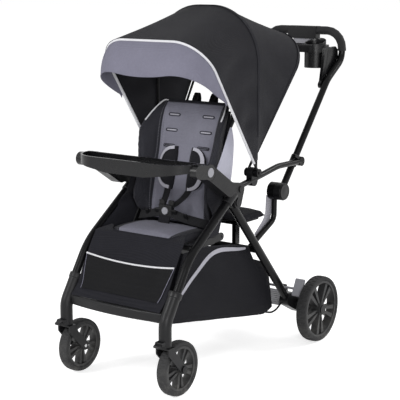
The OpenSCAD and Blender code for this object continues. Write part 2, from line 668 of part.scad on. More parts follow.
// Point of the cloth's profile at t from 0 (left foot) to 1 (right foot). b holds the bow's half width at the
// foot, that at the top and its corner radius; g is the distance outside its middle line, k scales its reach
cloth_foot = 40;
function bow_profile(t, b, g, k) =
    let (r = b[2], straight = bow_reach * k - r - cloth_foot, arc = r * PI / 2, top = 2 * (b[1] - r),
        total = 2 * straight + 2 * arc + top, d = min(t, 1 - t) * total, s = t <= 0.5 ? 1 : -1,
        x0 = b[0] + (b[1] - b[0]) * cloth_foot / bow_reach)
    d < straight ? [s * (x0 + (b[1] - x0) * d / straight + g), cloth_foot + d]
    : d < straight + arc ? let (a = (d - straight) / r * 180 / PI)
        [s * (b[1] - r + (r + g) * cos(a)), bow_reach * k - r + (r + g) * sin(a)]
    : [s * (b[1] - r - (d - straight - arc)), bow_reach * k + g];

front_bow_b = [front_bow_x, front_bow_x, bow_r];
middle_bow_b = [middle_bow_x, middle_bow_x, roof_r];
rear_bow_b = [rear_bow_x, rear_top_x, bow_r + 15];
function sag(f) = cos(bow_step / 2) / cos(bow_step * (f - 0.5)) - 0.006 * sin(180 * f);
module canopy_cloth(a0, b0, b1) {
    n = 6;
    m = 56;
    gap = bow_d / 2 + 1.6;
    edge = function(f, g, j) let (q = bow_profile(j / m, b0 + (b1 - b0) * f, g, sag(f)))
        bow_point(q[0], q[1], a0 + bow_step * f);
    loft([for (i = [0:n]) concat([for (j = [0:m]) edge(i / n, gap + cloth_t, j)],
        [for (j = [m:-1:0]) edge(i / n, gap, j)])]);
}
module canopy_front_cloth() color("#2c2c31") canopy_cloth(front_angle, front_bow_b, middle_bow_b);
module canopy_rear_cloth() color("#2c2c31") canopy_cloth(90.05, middle_bow_b, rear_bow_b);

// Visor: cloth hung from the front bow, deepest in the middle and run out to nothing at the sides
module visor() color("#8b8a98") {
    m = 28;
    drop = function(t) visor_drop * pow(max(0.06, sin(180 * clamp01((t - 0.2) / 0.6))), 0.9);
    loft([for (j = [0:m])
        let (t = 0.2 + 0.6 * j / m, q = bow_profile(t, front_bow_b, 0, 1), d = drop(t),
            top = bow_point(q[0], q[1], front_angle), n = [0, -sin(front_angle), -cos(front_angle)],
            p0 = top + (bow_d / 2 + 0.8) * n)
        [p0 + cloth_t * [0, 0.78, -0.63], p0 + d * [0, -0.34, -0.42] + cloth_t * [0, 0.92, -0.38],
            p0 + d * [0, -0.38, -1] + cloth_t * [0, 1, 0], p0 + d * [0, -0.38, -1],
            p0 + d * [0, -0.34, -0.42], p0]]);
}

// Seat back

module on_back() translate([0, back_foot[0], back_foot[1]]) rotate([-back_tilt, 0, 0]) children();
module back_board() color("#3a3a3d") on_back() {
    union() {
        translate([-seat_half + 26, back_t + seat_gap, -30]) cube([2 * seat_half - 52, 8, back_h + 10]);
        cross_rod(-side_plate_x + 0.5, side_plate_x - 0.5, back_hinge, 14);
        cross_rod(-side_plate_x - side_plate_t, side_plate_x + side_plate_t, back_hinge, back_pin_d);
    }
}

// Back cushion: flat middle with sewn channels, sides swept forward as wings that drop away at the top
function wing_at(z) = wing * pow(clamp01(z / 60), 0.6) * pow(clamp01((back_h - 8 - z) / 90), 0.6);
function back_line(u, z) = let (t = clamp01((abs(u) - 0.6) / 0.4), s = u < 0 ? -1 : 1)
    [s * (abs(u) < 0.6 ? abs(u) / 0.6 * (seat_half - 43) : seat_half - 43 + 36 * (1 - pow(1 - t, 1.5))),
        back_t / 2 - wing_at(z) * pow(t, 1.25)];
function back_side(u, z, w) = let (e = 0.02, v = unit(back_line(u + e, z) - back_line(u - e, z)))
    back_line(u, z) + w * [-v[1], v[0]];
function back_thick(u, z) = (back_t / 2 - 5 * clamp01((abs(u) - 0.6) / 0.2))
    * (0.3 + 0.7 * plump(u) * plump(2 * z / back_h - 1));
module back_cushion() color("#7c7c88") on_back() {
    m = 20;
    n = 14;
    seam = function(u) 3 * exp(-pow((abs(u) - 0.56) / 0.05, 2));
    skin = function(i, z, s) let (u = -0.97 + 1.94 * i / m, w = back_thick(u, z),
        q = back_side(u, z, s < 0 ? seam(u) - w : w)) [q[0], q[1], z];
    loft([for (k = [0:n]) let (z = back_h * k / n)
        concat([for (i = [0:m]) skin(i, z, -1)], [for (i = [m:-1:0]) skin(i, z, 1)])]);
}

// Shoulder pads lying on the back cushion, with the strap ends below them
module harness_pads() color("#1f1f22") on_back() pair() translate([52, -8.5, back_h * 0.43])
    rotate([90, 0, 0]) rotate([0, 0, -4]) translate([0, 0, -8]) pad(30, -66, 66, 12, 2, 40, 8, 8);

// Child tray

tray_top = tray_pivot[1] + tray_h - 14;
tray_front = tray_pivot[0] - tray_eye_d / 2 - 3 - tray_depth;
tray_half = hub_x + hub_t;
tray_cup_d = 66;
tray_body = tray_half - 14;
tray_r = 78;
function tray_arc(x, inset, from) = [for (k = [0:10]) let (a = from - 9 * k)
    [x + (tray_r - inset) * cos(a), tray_front + tray_r + (tray_r - inset) * sin(a)]];
module tray_outline(inset) polygon(concat([[tray_body - inset, tray_front + tray_depth - inset]],
    tray_arc(tray_body - tray_r, inset, 0), tray_arc(tray_r - tray_body, inset, -90),
    [[inset - tray_body, tray_front + tray_depth - inset]]));
module child_tray() color("#2b2b2e") {
    difference() {
        translate([0, 0, tray_top - tray_h]) linear_extrude(tray_h) tray_outline(0);
        translate([0, 0, tray_top - 16]) linear_extrude(tray_h) tray_outline(wall + 2);
        translate([0, 0, tray_top - tray_h - 1]) linear_extrude(tray_h - 19) tray_outline(wall + 2);
        translate([-96, tray_front + 46, tray_top - 17 - 22]) cylinder(h = tray_h, d = tray_cup_d);
        // The skirt tapers towards both ends
        pair() translate([70, tray_front - 20, tray_top - tray_h]) rotate([0, -8, 0]) translate([0, 0, -60])
            cube([200, tray_depth + 40, 60]);
    }
    difference() {
        translate([-96, tray_front + 46, tray_top - 22 - 17]) cylinder(h = 20, d = tray_cup_d + 2 * wall);
        translate([-96, tray_front + 46, tray_top - 22 - 14]) cylinder(h = tray_h, d = tray_cup_d);
    }
    pair() difference() {
        side_plate(tray_in + seat_gap, tray_half) {
            translate(tray_pivot) circle(d = tray_eye_d);
            link(tray_pivot, [tray_front + tray_depth - 24, tray_top - tray_h / 2], tray_h - 2);
        }
        cross_rod(tray_in - 1, tray_half + 1, tray_pivot, pin_d + 2 * fit);
        cross_rod(tray_in + 11, tray_half + 1, tray_pivot, 27 + 2 * seat_gap);
    }
}
module tray_button() {
    cross_rod(tray_in + 15, tray_half + 2, tray_pivot, 27);
}
module tray_button_left() color("#b9b9c0") tray_button();
module tray_button_right() color("#b9b9c0") right() tray_button();

front_leg_left();
front_leg_right();
leg_boot_left();
leg_boot_right();
front_crossbar();
armrest_left();
armrest_right();
seat_board();
seat_cushion();
calf_panel();
seat_sides();
basket();
crotch_strap();
buckle();
buckle_button();
caster_fork_left();
caster_fork_right();
front_axle_left();
front_axle_right();
front_rim_left();
front_rim_right();
front_tyre_left();
front_tyre_right();
swivel_lock_left();
swivel_lock_right();
rear_leg_left();
rear_leg_right();
fold_struts();
rear_axle();
axle_housings();
standing_platform();
rear_cross_tube();
bench();
bench_belt();
rear_rim_left();
rear_rim_right();
rear_tyre_left();
rear_tyre_right();
brake_bar();
handle_tube();
handle_grip();
handle_housing();
parent_console();
fold_hubs();
fold_trigger();
side_arm_left();
side_arm_right();
canopy_clamps();
canopy_front_bow();
canopy_middle_bow();
canopy_rear_bow();
canopy_front_cloth();
canopy_rear_cloth();
visor();
back_board();
back_cushion();
harness_pads();
child_tray();
tray_button_left();
tray_button_right();
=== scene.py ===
# %% [markdown]
# # Dressing a tandem stroller
# The CAD pack gives the frame, wheels and trays of a sit-and-stand stroller as exact solids, and plain
# blocks where the real one has cloth. This lesson keeps the hard solids, with softened edges, and makes
# everything soft: padded seat, harness, canopy, basket and straps. Lengths are in millimetres until a
# point is placed, because that is how sewing patterns and drawings are marked.

# %% Load the frame
import json
import math

import bpy
import numpy as np
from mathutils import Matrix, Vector


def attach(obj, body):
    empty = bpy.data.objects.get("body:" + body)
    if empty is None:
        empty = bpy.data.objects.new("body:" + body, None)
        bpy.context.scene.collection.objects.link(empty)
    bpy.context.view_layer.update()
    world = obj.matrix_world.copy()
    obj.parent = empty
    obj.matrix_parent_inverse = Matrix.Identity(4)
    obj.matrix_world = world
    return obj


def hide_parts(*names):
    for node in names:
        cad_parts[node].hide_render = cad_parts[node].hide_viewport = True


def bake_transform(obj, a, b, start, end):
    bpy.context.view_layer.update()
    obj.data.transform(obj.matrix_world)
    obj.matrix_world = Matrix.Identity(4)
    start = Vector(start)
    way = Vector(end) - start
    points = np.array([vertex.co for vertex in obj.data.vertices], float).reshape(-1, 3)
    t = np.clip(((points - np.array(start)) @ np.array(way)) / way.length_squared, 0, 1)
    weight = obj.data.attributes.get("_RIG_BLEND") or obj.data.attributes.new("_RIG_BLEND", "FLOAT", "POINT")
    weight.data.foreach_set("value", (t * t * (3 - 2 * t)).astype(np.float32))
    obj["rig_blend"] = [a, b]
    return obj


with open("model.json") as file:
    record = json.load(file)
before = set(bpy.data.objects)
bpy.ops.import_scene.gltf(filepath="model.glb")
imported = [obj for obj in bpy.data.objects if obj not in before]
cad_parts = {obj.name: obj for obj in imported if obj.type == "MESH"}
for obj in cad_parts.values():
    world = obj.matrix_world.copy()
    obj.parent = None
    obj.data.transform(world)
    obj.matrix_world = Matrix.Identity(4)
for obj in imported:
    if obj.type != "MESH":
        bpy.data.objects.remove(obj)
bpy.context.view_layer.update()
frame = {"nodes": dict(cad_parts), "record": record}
MM = 0.001
SIDES = (("left", 1), ("right", -1))
record = frame["record"]
body_of_node = {n: b for b, members in record["behaviour"]["bodies"].items() for n in members}
slot_of_node = {row["node"]: row["material_slot"] for row in record["subparts"]}

# %% [markdown]
# ## Camera
# The photograph was taken with a long lens from the front left, a little above the canopy. Its place was
# found by matching wheels, legs and handle to the CAD points, so the camera is simply put there.

# %% Camera
VIEW_TURN, VIEW_RISE = math.radians(36.307), math.radians(10.901)
CAMERA_PLACE = (2.1306, -2.9784, 1.1809)
SENSOR_WIDTH, LENS_LENGTH = 36, 106.4
level = math.cos(VIEW_RISE)
view_back = Vector((math.sin(VIEW_TURN) * level, -math.cos(VIEW_TURN) * level, math.sin(VIEW_RISE)))
bpy.ops.object.camera_add(location=CAMERA_PLACE)
camera = bpy.context.object
camera.rotation_mode = "QUATERNION"
camera.rotation_quaternion = (-view_back).to_track_quat("-Z", "Y")
camera.data.sensor_width, camera.data.lens = SENSOR_WIDTH, LENS_LENGTH
camera.data.clip_start, camera.data.clip_end = 0.1, 60
bpy.context.scene.camera = camera
print("camera at", CAMERA_PLACE)

# %% [markdown]
# ## Studio
# A catalogue picture has a white floor, a white surround and broad soft lamps. The floor glows a little
# for the camera alone, so that it reads as white while the stroller's shadow stays on it.

# %% Studio floor, surround and lamps
WHITE, FLOOR_GREY = (1, 1, 1, 1), (0.86, 0.86, 0.86, 1)
SURROUND_LIGHT, FLOOR_GLOW = 0.46, 0.64
FLOOR_SIZE, FLOOR_DROP = 60, 0.0006
LAMP_AIM = Vector((0, 0, 0.55))
LAMPS = {"key lamp": ((-1.5, -3.3, 2.3), 1.1, 66), "fill lamp": ((2.7, -2.7, 1.5), 1.2, 62),
         "rear lamp": ((1.9, 2.5, 2.5), 1.3, 48)}


def feed(socket, value):
    """Give a socket a plain value, or link another socket to it."""
    if isinstance(value, bpy.types.NodeSocket):
        value.id_data.links.new(value, socket)
    else:
        socket.default_value = value


def add_node(tree, kind, inputs=None, **settings):
    node = tree.nodes.new(kind)
    for key, value in settings.items():
        setattr(node, key, value)
    for key, value in (inputs or {}).items():
        feed(node.inputs[key], value)
    return node


def sums(operation, *terms, clamp=False):
    """A maths node on sockets and plain numbers."""
    tree = next(term.id_data for term in terms if not isinstance(term, float))
    inputs = dict(enumerate(terms))
    return add_node(tree, "ShaderNodeMath", inputs, operation=operation, use_clamp=clamp).outputs[0]


def show(out, plain, seen):
    """Give plain to the output, but seen to rays from the camera, a mirror or glass."""
    path = add_node(out.id_data, "ShaderNodeLightPath").outputs
    direct = sums("MAXIMUM", path["Is Camera Ray"], path["Is Glossy Ray"])
    direct = sums("MAXIMUM", direct, path["Is Transmission Ray"])
    inputs = {0: direct, 1: plain.outputs[0], 2: seen.outputs[0]}
    feed(out.inputs[0], add_node(out.id_data, "ShaderNodeMixShader", inputs).outputs[0])


world = bpy.data.worlds.new("studio surround")
bpy.context.scene.world = world
floor_paint = bpy.data.materials.new("studio floor")
for owner in (world, floor_paint):
    owner.use_nodes = True
    owner.node_tree.nodes.clear()
sky, ground = world.node_tree, floor_paint.node_tree
sky_light = add_node(sky, "ShaderNodeBackground", {"Color": WHITE, "Strength": SURROUND_LIGHT})
sky_seen = add_node(sky, "ShaderNodeBackground", {"Color": WHITE, "Strength": 1.0})
show(add_node(sky, "ShaderNodeOutputWorld"), sky_light, sky_seen)
matt = add_node(ground, "ShaderNodeBsdfDiffuse", {"Color": FLOOR_GREY})
glow = add_node(ground, "ShaderNodeEmission", {"Color": WHITE, "Strength": FLOOR_GLOW})
glowing = add_node(ground, "ShaderNodeAddShader", {0: matt.outputs[0], 1: glow.outputs[0]})
show(add_node(ground, "ShaderNodeOutputMaterial"), matt, glowing)
bpy.ops.mesh.primitive_plane_add(size=FLOOR_SIZE, location=(0, 0, -FLOOR_DROP))
floor = bpy.context.object
floor.name = "studio_floor"
floor.data.materials.append(floor_paint)
for lamp_name, (place, size, power) in LAMPS.items():
    bpy.ops.object.light_add(type="AREA", location=place)
    lamp = bpy.context.object
    lamp.name = lamp_name
    lamp.data.size, lamp.data.energy = size, power
    lamp.rotation_euler = (LAMP_AIM - Vector(place)).to_track_quat("-Z", "Y").to_euler()
bpy.context.scene.view_settings.view_transform = "Standard"
print("studio: floor, surround and", len(LAMPS), "lamps")

# %% [markdown]
# ## Effects shared by the finishes
# Cloth, moulded plastic and tyres each show a texture that several materials share. Each effect is one
# node group with named sockets, so that a finish only sets its own scale. The weave is built from crossed
# waves in three directions: it needs no unwrapping, and reads as threads on any side of a pad.

# %% Makers of effects
def new_effect(name, inputs, outputs):
    tree = bpy.data.node_groups.new(name, "ShaderNodeTree")
    for label, kind in inputs.items():
        tree.interface.new_socket(label, in_out="INPUT", socket_type="NodeSocket" + kind)
    for label in outputs:
        tree.interface.new_socket(label, in_out="OUTPUT", socket_type="NodeSocketFloat")
    return tree, add_node(tree, "NodeGroupInput").outputs, add_node(tree, "NodeGroupOutput").inputs


def ramp(value, low, high, to_low=0.0, to_high=1.0):
    inputs = {"Value": value, "From Min": low, "From Max": high, "To Min": to_low, "To Max": to_high}
    return add_node(value.id_data, "ShaderNodeMapRange", inputs, interpolation_type="SMOOTHSTEP").outputs[0]


def noise(vector, scale, detail=3.0, rough=0.55):
    inputs = {"Vector": vector, "Scale": scale, "Detail": detail, "Roughness": rough}
    return add_node(vector.id_data, "ShaderNodeTexNoise", inputs).outputs["Fac"]


def axes_of(vector):
    return add_node(vector.id_data, "ShaderNodeSeparateXYZ", {0: vector}).outputs


# %% Weave, moulding, dust and seam groups
weave_group, given, result = new_effect("woven threads", {"Vector": "Vector", "Threads": "Float"},
                                        ["Height", "Tone"])
pitch = sums("MULTIPLY", given["Threads"], math.pi)
waves = [sums("SINE", sums("MULTIPLY", axis, pitch)) for axis in axes_of(given["Vector"])]
crossed = [sums("MULTIPLY", waves[i], waves[(i + 1) % 3]) for i in range(3)]
lattice = sums("ADD", sums("ADD", crossed[0], crossed[1]), crossed[2])
slub = noise(given["Vector"], 140.0, 4.0)
feed(result["Height"], sums("ADD", sums("MULTIPLY", lattice, 0.4), slub))
cloudy = sums("MULTIPLY", noise(given["Vector"], 14.0), 0.5)
melange = sums("MULTIPLY", slub, 0.35)
thread_tone = sums("MULTIPLY", lattice, 0.16)
feed(result["Tone"], sums("ADD", sums("ADD", cloudy, melange), thread_tone, clamp=True))

mould_group, given, result = new_effect("moulded skin", {"Vector": "Vector", "Grain": "Float"},
                                        ["Height", "Tone", "Gloss"])
grain_inputs = {"Vector": given["Vector"], "Scale": given["Grain"]}
cells = add_node(mould_group, "ShaderNodeTexVoronoi", grain_inputs, feature="SMOOTH_F1")
feed(result["Height"], cells.outputs["Distance"])
feed(result["Tone"], noise(given["Vector"], 22.0, 5.0))
feed(result["Gloss"], noise(given["Vector"], 9.0, 4.0, 0.65))

dust_group, given, result = new_effect("road dust", {"Vector": "Vector", "Reach": "Float"}, ["Mask"])
low_down = sums("DIVIDE", axes_of(given["Vector"])[2], given["Reach"])
nearness = sums("SUBTRACT", 1.0, low_down, clamp=True)
patchy = ramp(noise(given["Vector"], 30.0, 6.0, 0.7), 0.38, 0.72)
feed(result["Mask"], sums("MULTIPLY", nearness, patchy))

SEAM_BLUR, GROOVE_REACH, STITCH_OFF, STITCH_RATE = 0.0006, 0.0035, 0.0055, 1100.0
seam_group, given, result = new_effect("sewn seam", {"Distance": "Float", "Vector": "Vector"},
                                       ["Side", "Groove", "Stitch"])
feed(result["Side"], ramp(given["Distance"], -SEAM_BLUR, SEAM_BLUR))
off_seam = sums("ABSOLUTE", given["Distance"])
feed(result["Groove"], ramp(off_seam, 0.0, GROOVE_REACH, 1.0, 0.0))
seam_axes = axes_of(given["Vector"])
run_along = sums("MULTIPLY", sums("ADD", seam_axes[1], seam_axes[2]), STITCH_RATE)
dash = ramp(sums("SINE", run_along), -0.2, 0.2)
thread = ramp(sums("ABSOLUTE", sums("SUBTRACT", off_seam, STITCH_OFF)), 0.0004, 0.0012, 1.0, 0.0)
feed(result["Stitch"], sums("MULTIPLY", thread, dash))
print("effects:", [g.name for g in bpy.data.node_groups])

# %% [markdown]
# ## Cloth finishes
# The stroller's cloth is a plain-woven polyester: nearly black with a cool cast, and a mid grey on the
# seat and the visor. Woven polyester scatters a little light at glancing angles, which is what the sheen
# lobe is for. The padded seat has both colours; a distance to the seam, stored on the mesh, tells the
# shader on which side it is.

# %% Makers of cloth finishes
STITCH_COLOUR, SHEEN_ROUGHNESS = (0.32, 0.32, 0.36), 0.45


def blank_finish(name, rough, sheen=0.0, specular=0.5):
    """A new material, its shader's sockets and the object coordinates."""
    finish = bpy.data.materials.new(name)
    finish.use_nodes = True
    shader = finish.node_tree.nodes["Principled BSDF"].inputs
    feed(shader["Roughness"], rough)
    feed(shader["Sheen Weight"], sheen)
    feed(shader["Sheen Roughness"], SHEEN_ROUGHNESS)
    feed(shader["Specular IOR Level"], specular)
    return finish, shader, add_node(finish.node_tree, "ShaderNodeTexCoord").outputs["Object"]


def use_effect(group, vector, **values):
    inputs = {"Vector": vector, **values}
    return add_node(vector.id_data, "ShaderNodeGroup", inputs, node_tree=group).outputs


def tint(factor, first, second):
    """A mix of two colours, each given as numbers or as a socket."""
    first, second = ((*c, 1) if isinstance(c, tuple) else c for c in (first, second))
    inputs = {"Factor": factor, 6: first, 7: second}
    return add_node(factor.id_data, "ShaderNodeMix", inputs, data_type="RGBA").outputs[2]


def raised(shader, height, depth, strength=0.6):
    inputs = {"Height": height, "Distance": depth, "Strength": strength}
    feed(shader["Normal"], add_node(height.id_data, "ShaderNodeBump", inputs).outputs[0])


def cloth_finish(name, shades, threads=900.0, sheen=0.04, rough=0.9, specular=0.12, beyond=None):
    """Woven cloth between two shades. With beyond, a second pair of shades fills the far side of the seam."""
    finish, shader, here = blank_finish(name, rough, sheen, specular)
    weave = use_effect(weave_group, here, Threads=threads)
    colour, height = tint(weave["Tone"], *shades), weave["Height"]
    if beyond:
        stored = add_node(finish.node_tree, "ShaderNodeAttribute", attribute_name="seam")
        seam = use_effect(seam_group, here, Distance=stored.outputs["Fac"])
        colour = tint(seam["Side"], colour, tint(weave["Tone"], *beyond))
        colour = tint(sums("MULTIPLY", seam["Stitch"], 0.35), colour, STITCH_COLOUR)
        height = sums("SUBTRACT", height, sums("MULTIPLY", seam["Groove"], 2.5))
    feed(shader["Base Color"], colour)
    raised(shader, height, 0.0007)
    return finish


def net_finish():
    """Black netting of the front pocket: fine diamonds with dark holes."""
    finish, shader, here = blank_finish("pocket netting", 0.85, 0.02, 0.08)
    axes = axes_of(here)
    slants = [sums("MULTIPLY", sums(kind, axes[0], axes[2]), 900.0) for kind in ("ADD", "SUBTRACT")]
    ribs = [sums("ABSOLUTE", sums("SINE", slant)) for slant in slants]
    holes = ramp(sums("MULTIPLY", *ribs), 0.25, 0.55)
    tone = use_effect(weave_group, here, Threads=300.0)["Tone"]
    yarn = tint(tone, (0.011, 0.011, 0.012), (0.024, 0.024, 0.026))
    feed(shader["Base Color"], tint(holes, yarn, (0.0040, 0.0040, 0.0045)))
    raised(shader, sums("SUBTRACT", 1.0, holes), 0.0009)
    return finish


# %% Cloth finishes
BLACK_SHADES = ((0.0080, 0.0080, 0.0105), (0.0215, 0.0215, 0.0275))
GREY_SHADES = ((0.138, 0.137, 0.170), (0.250, 0.248, 0.300))
GUSSET_SHADES = ((0.48, 0.48, 0.58), (0.72, 0.72, 0.82))
black_cloth = cloth_finish("black polyester", BLACK_SHADES)
canopy_cloth = cloth_finish("canopy polyester", ((0.0075, 0.0074, 0.0094), (0.0200, 0.0197, 0.0245)),
                            threads=1100.0, sheen=0.03, rough=0.8)
visor_cloth = cloth_finish("visor polyester", ((0.150, 0.147, 0.192), (0.240, 0.236, 0.300)),
                           threads=1100.0, sheen=0.03, rough=0.85)
# The seat's black is the same black polyester, painted about twice as light: painted light on the wings of the
# seat back, which lie in shade. Its grey panel is the seat's own colour.
seat_cloth_painted_light = cloth_finish("seat polyester with painted light", ((0.0165, 0.0165, 0.0205), (0.0420, 0.0420, 0.0510)),
                          beyond=GREY_SHADES)
side_cloth = cloth_finish("seat side and gusset", BLACK_SHADES, threads=600.0, beyond=GUSSET_SHADES)
basket_cloth = cloth_finish("basket polyester", ((0.0034, 0.0034, 0.0050), (0.0092, 0.0092, 0.0126)),
                            threads=800.0, sheen=0.015, rough=0.6, specular=0.08)
stripe_cloth = cloth_finish("pale trim", ((0.33, 0.325, 0.37), (0.50, 0.495, 0.55)), threads=600.0)
piping_cloth = cloth_finish("white piping", ((0.62, 0.62, 0.65), (0.86, 0.86, 0.88)), sheen=0.05, rough=0.75)
pad_cloth = cloth_finish("shoulder pad cloth", ((0.0065, 0.0065, 0.0080), (0.0165, 0.0165, 0.0200)),
                         threads=350.0, sheen=0.08)
strap_cloth = cloth_finish("black webbing", ((0.0065, 0.0065, 0.0075), (0.0170, 0.0170, 0.0190)),
                           threads=260.0, sheen=0.05, rough=0.75)
pale_strap_cloth = cloth_finish("grey webbing", ((0.31, 0.305, 0.345), (0.47, 0.465, 0.51)),
                                threads=260.0, sheen=0.05, rough=0.8)
netting = net_finish()
print("cloth finishes:", len(bpy.data.materials))

# %% [markdown]
# ## Hard finishes
# The tubes are powder-coated steel, the joints and trays are grained nylon, the wheels are grey plastic
# with foam rubber tyres. All of them are dark, so what tells them apart is gloss and grain. Dust gathers
# low down on what rolls.

# %% Hard finishes
DUST_COLOUR = (0.16, 0.155, 0.145)


def moulded_finish(name, shades, rough, grain=900.0, depth=0.0003, dust=0.0, metallic=0.0, specular=0.28):
    """A grained surface between two shades and two roughnesses, dusty up to a height in metres."""
    finish, shader, here = blank_finish(name, rough[0], specular=specular)
    feed(shader["Metallic"], metallic)
    skin = use_effect(mould_group, here, Grain=grain)
    colour = tint(skin["Tone"], *shades)
    if dust:
        mask = sums("MULTIPLY", use_effect(dust_group, here, Reach=dust)["Mask"], 0.5)
        colour = tint(mask, colour, DUST_COLOUR)
    feed(shader["Base Color"], colour)
    feed(shader["Roughness"], ramp(skin["Gloss"], 0.3, 0.7, *rough))
    raised(shader, skin["Height"], depth, 0.5)
    return finish


tube_enamel = moulded_finish("black enamel", ((0.0028, 0.0028, 0.0032), (0.0056, 0.0056, 0.0062)),
                             (0.22, 0.36), grain=1600.0, depth=0.0001, specular=0.13)
joint_nylon = moulded_finish("black nylon", ((0.0044, 0.0044, 0.0050), (0.0092, 0.0092, 0.0102)),
                             (0.32, 0.48), specular=0.22)
tray_nylon = moulded_finish("tray nylon", ((0.0034, 0.0034, 0.0039), (0.0070, 0.0070, 0.0078)), (0.2, 0.34),
                            grain=1200.0, depth=0.0002)
wheel_nylon = moulded_finish("wheel nylon", ((0.0170, 0.0170, 0.0178), (0.0320, 0.0320, 0.0332)), (0.4, 0.56),
                             dust=0.16)
tyre_rubber = moulded_finish("tyre rubber", ((0.0165, 0.0165, 0.0172), (0.0340, 0.0340, 0.0352)),
                             (0.66, 0.86), grain=700.0, depth=0.0005, dust=0.12)
grip_foam = moulded_finish("grip foam", ((0.0075, 0.0075, 0.0082), (0.0165, 0.0165, 0.0178)), (0.7, 0.92),
                           grain=420.0, depth=0.0008)
grey_nylon = moulded_finish("grey nylon", ((0.25, 0.25, 0.275), (0.36, 0.36, 0.39)), (0.4, 0.55))
deck_nylon = moulded_finish("deck nylon", ((0.21, 0.21, 0.225), (0.31, 0.31, 0.33)), (0.5, 0.68),
                            grain=500.0, depth=0.0006, dust=0.3)
axle_steel = moulded_finish("axle steel", ((0.46, 0.46, 0.47), (0.62, 0.62, 0.63)), (0.24, 0.4),
                            grain=2200.0, depth=0.0001, metallic=1.0)
finish_of_slot = {
    "frame_metal": tube_enamel, "bow_rod": tube_enamel, "frame_plastic": joint_nylon, "steel": axle_steel,
    "console_plastic": tray_nylon, "rim_plastic": wheel_nylon, "tyre_rubber": tyre_rubber,
    "grip_foam": grip_foam, "grey_plastic": grey_nylon, "black_fabric": black_cloth,
    "grey_fabric": visor_cloth, "webbing": strap_cloth, "light_webbing": pale_strap_cloth}
for node, obj in frame["nodes"].items():
    obj.data.materials.clear()
    obj.data.materials.append(finish_of_slot[slot_of_node[node]])
print("hard finishes on", len(frame["nodes"]), "nodes")

# %% [markdown]
# ## Castings with softened edges
# A moulded part never has a knife edge: the tool rounds it by a millimetre or two, and that rounding
# catches the light. The CAD meshes are loose triangles with sharp edges, so each hard part is copied, its
# triangles are merged into whole faces, the edges get a bevel, and the copy stands for the CAD node in the
# picture.

# %% Makers for mesh work
def pick(piece):
    bpy.ops.object.select_all(action="DESELECT")
    piece.select_set(True)
    bpy.context.view_layer.objects.active = piece


def apply_modifier(piece, kind, **settings):
    pick(piece)
    modifier = piece.modifiers.new(kind.lower(), kind)
    for key, value in settings.items():
        setattr(modifier, key, value)
    bpy.ops.object.modifier_apply(modifier=modifier.name)


def round_edges(piece, width, angle, segments=3):
    """Bevel the edges that turn by more than an angle in degrees."""
    apply_modifier(piece, "BEVEL", width=width * MM, segments=segments, limit_method="ANGLE",
                   angle_limit=math.radians(angle))


def edit(piece):
    pick(piece)
    bpy.ops.object.mode_set(mode="EDIT")
    bpy.ops.mesh.select_all(action="SELECT")


def done():
    bpy.ops.object.mode_set(mode="OBJECT")


def copy_of(node, name):
    piece = bpy.data.objects.new(name, frame["nodes"][node].data.copy())
    bpy.context.scene.collection.objects.link(piece)
    edit(piece)
    bpy.ops.mesh.remove_doubles(threshold=0.02 * MM)
    done()
    return piece


def keep(piece, body, finish, slot, *stands_for, smooth=35):
    """Finish a piece and let it ride on a body. A piece without a body is blended between two afterwards."""
    piece.data.materials.clear()
    piece.data.materials.append(finish)
    pick(piece)
    bpy.ops.object.shade_smooth_by_angle(angle=math.radians(smooth))
    if body:
        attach(piece, body)
    if stands_for:
        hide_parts(*stands_for)
    return piece


# %% Softened copies of the hard parts
EDGES = {
    "front_crossbar": 2.5, "buckle": 3.5, "fold_struts": 1.5, "axle_housings": 2.0, "standing_platform": 2.0,
    "rear_cross_tube": 1.2, "brake_bar": 2.0, "handle_tube": 0.0, "handle_grip": 1.5, "handle_housing": 4.0,
    "parent_console": 1.8, "fold_hubs": 5.0, "fold_trigger": 3.0, "canopy_clamps": 1.5, "child_tray": 2.7,
    "canopy_front_bow": 0.0, "canopy_middle_bow": 0.0, "canopy_rear_bow": 0.0, "seat_board": 1.0,
    "rear_axle": 0.5, "buckle_button": 1.2}
PAIRED_EDGES = {
    "front_leg": 0.0, "leg_boot": 1.5, "armrest": 5.0, "caster_fork": 1.5, "swivel_lock": 1.5,
    "rear_leg": 1.0, "side_arm": 1.0, "tray_button": 1.6, "front_axle": 0.6, "front_rim": 1.2, "rear_rim": 1.4}
for side, _ in SIDES:
    EDGES.update({f"{part}_{side}": edge for part, edge in PAIRED_EDGES.items()})


def soften(node, edge, finish=None):
    piece = copy_of(node, node + "_casting")
    edit(piece)
    bpy.ops.mesh.dissolve_limited(angle_limit=math.radians(0.4))
    done()
    if edge:
        round_edges(piece, edge, 40, segments=2)
    slot = slot_of_node[node]
    keep(piece, body_of_node[node], finish or finish_of_slot[slot], slot, node)
    apply_modifier(piece, "WEIGHTED_NORMAL", keep_sharp=True)
    return piece


castings = {node: soften(node, edge) for node, edge in EDGES.items()}
castings["back_board"] = soften("back_board", 2.5, black_cloth)
castings["standing_platform"].data.materials[0] = deck_nylon
print("softened", len(castings), "castings,", sum(len(p.data.polygons) for p in castings.values()), "faces")

# %% [markdown]
# ## Tyres
# The tyres are one ring of foam rubber with a rounded tread. Turning a cross-section round the axle, as on
# a lathe, gives the ring, and a row of shallow pockets pressed into the tread gives its blocks.

# %% Tyres with a pressed tread
TYRE_STEPS, TYRE_SQUARENESS, TREAD_SHARE, TREAD_PRESS = 72, 0.62, 0.16, 1.1


def add_shape(name, primitive, turn=None, stretch=None, **settings):
    """A primitive under its own name, with its place, turn and stretch settled into the mesh."""
    bpy.ops.object.select_all(action="DESELECT")
    primitive(**settings)
    piece = bpy.context.object
    piece.name = name
    if turn is not None:
        piece.rotation_mode = "QUATERNION"
        piece.rotation_quaternion = turn
    if stretch is not None:
        piece.scale = stretch
    bpy.ops.object.transform_apply(location=True, rotation=True, scale=True)
    return piece


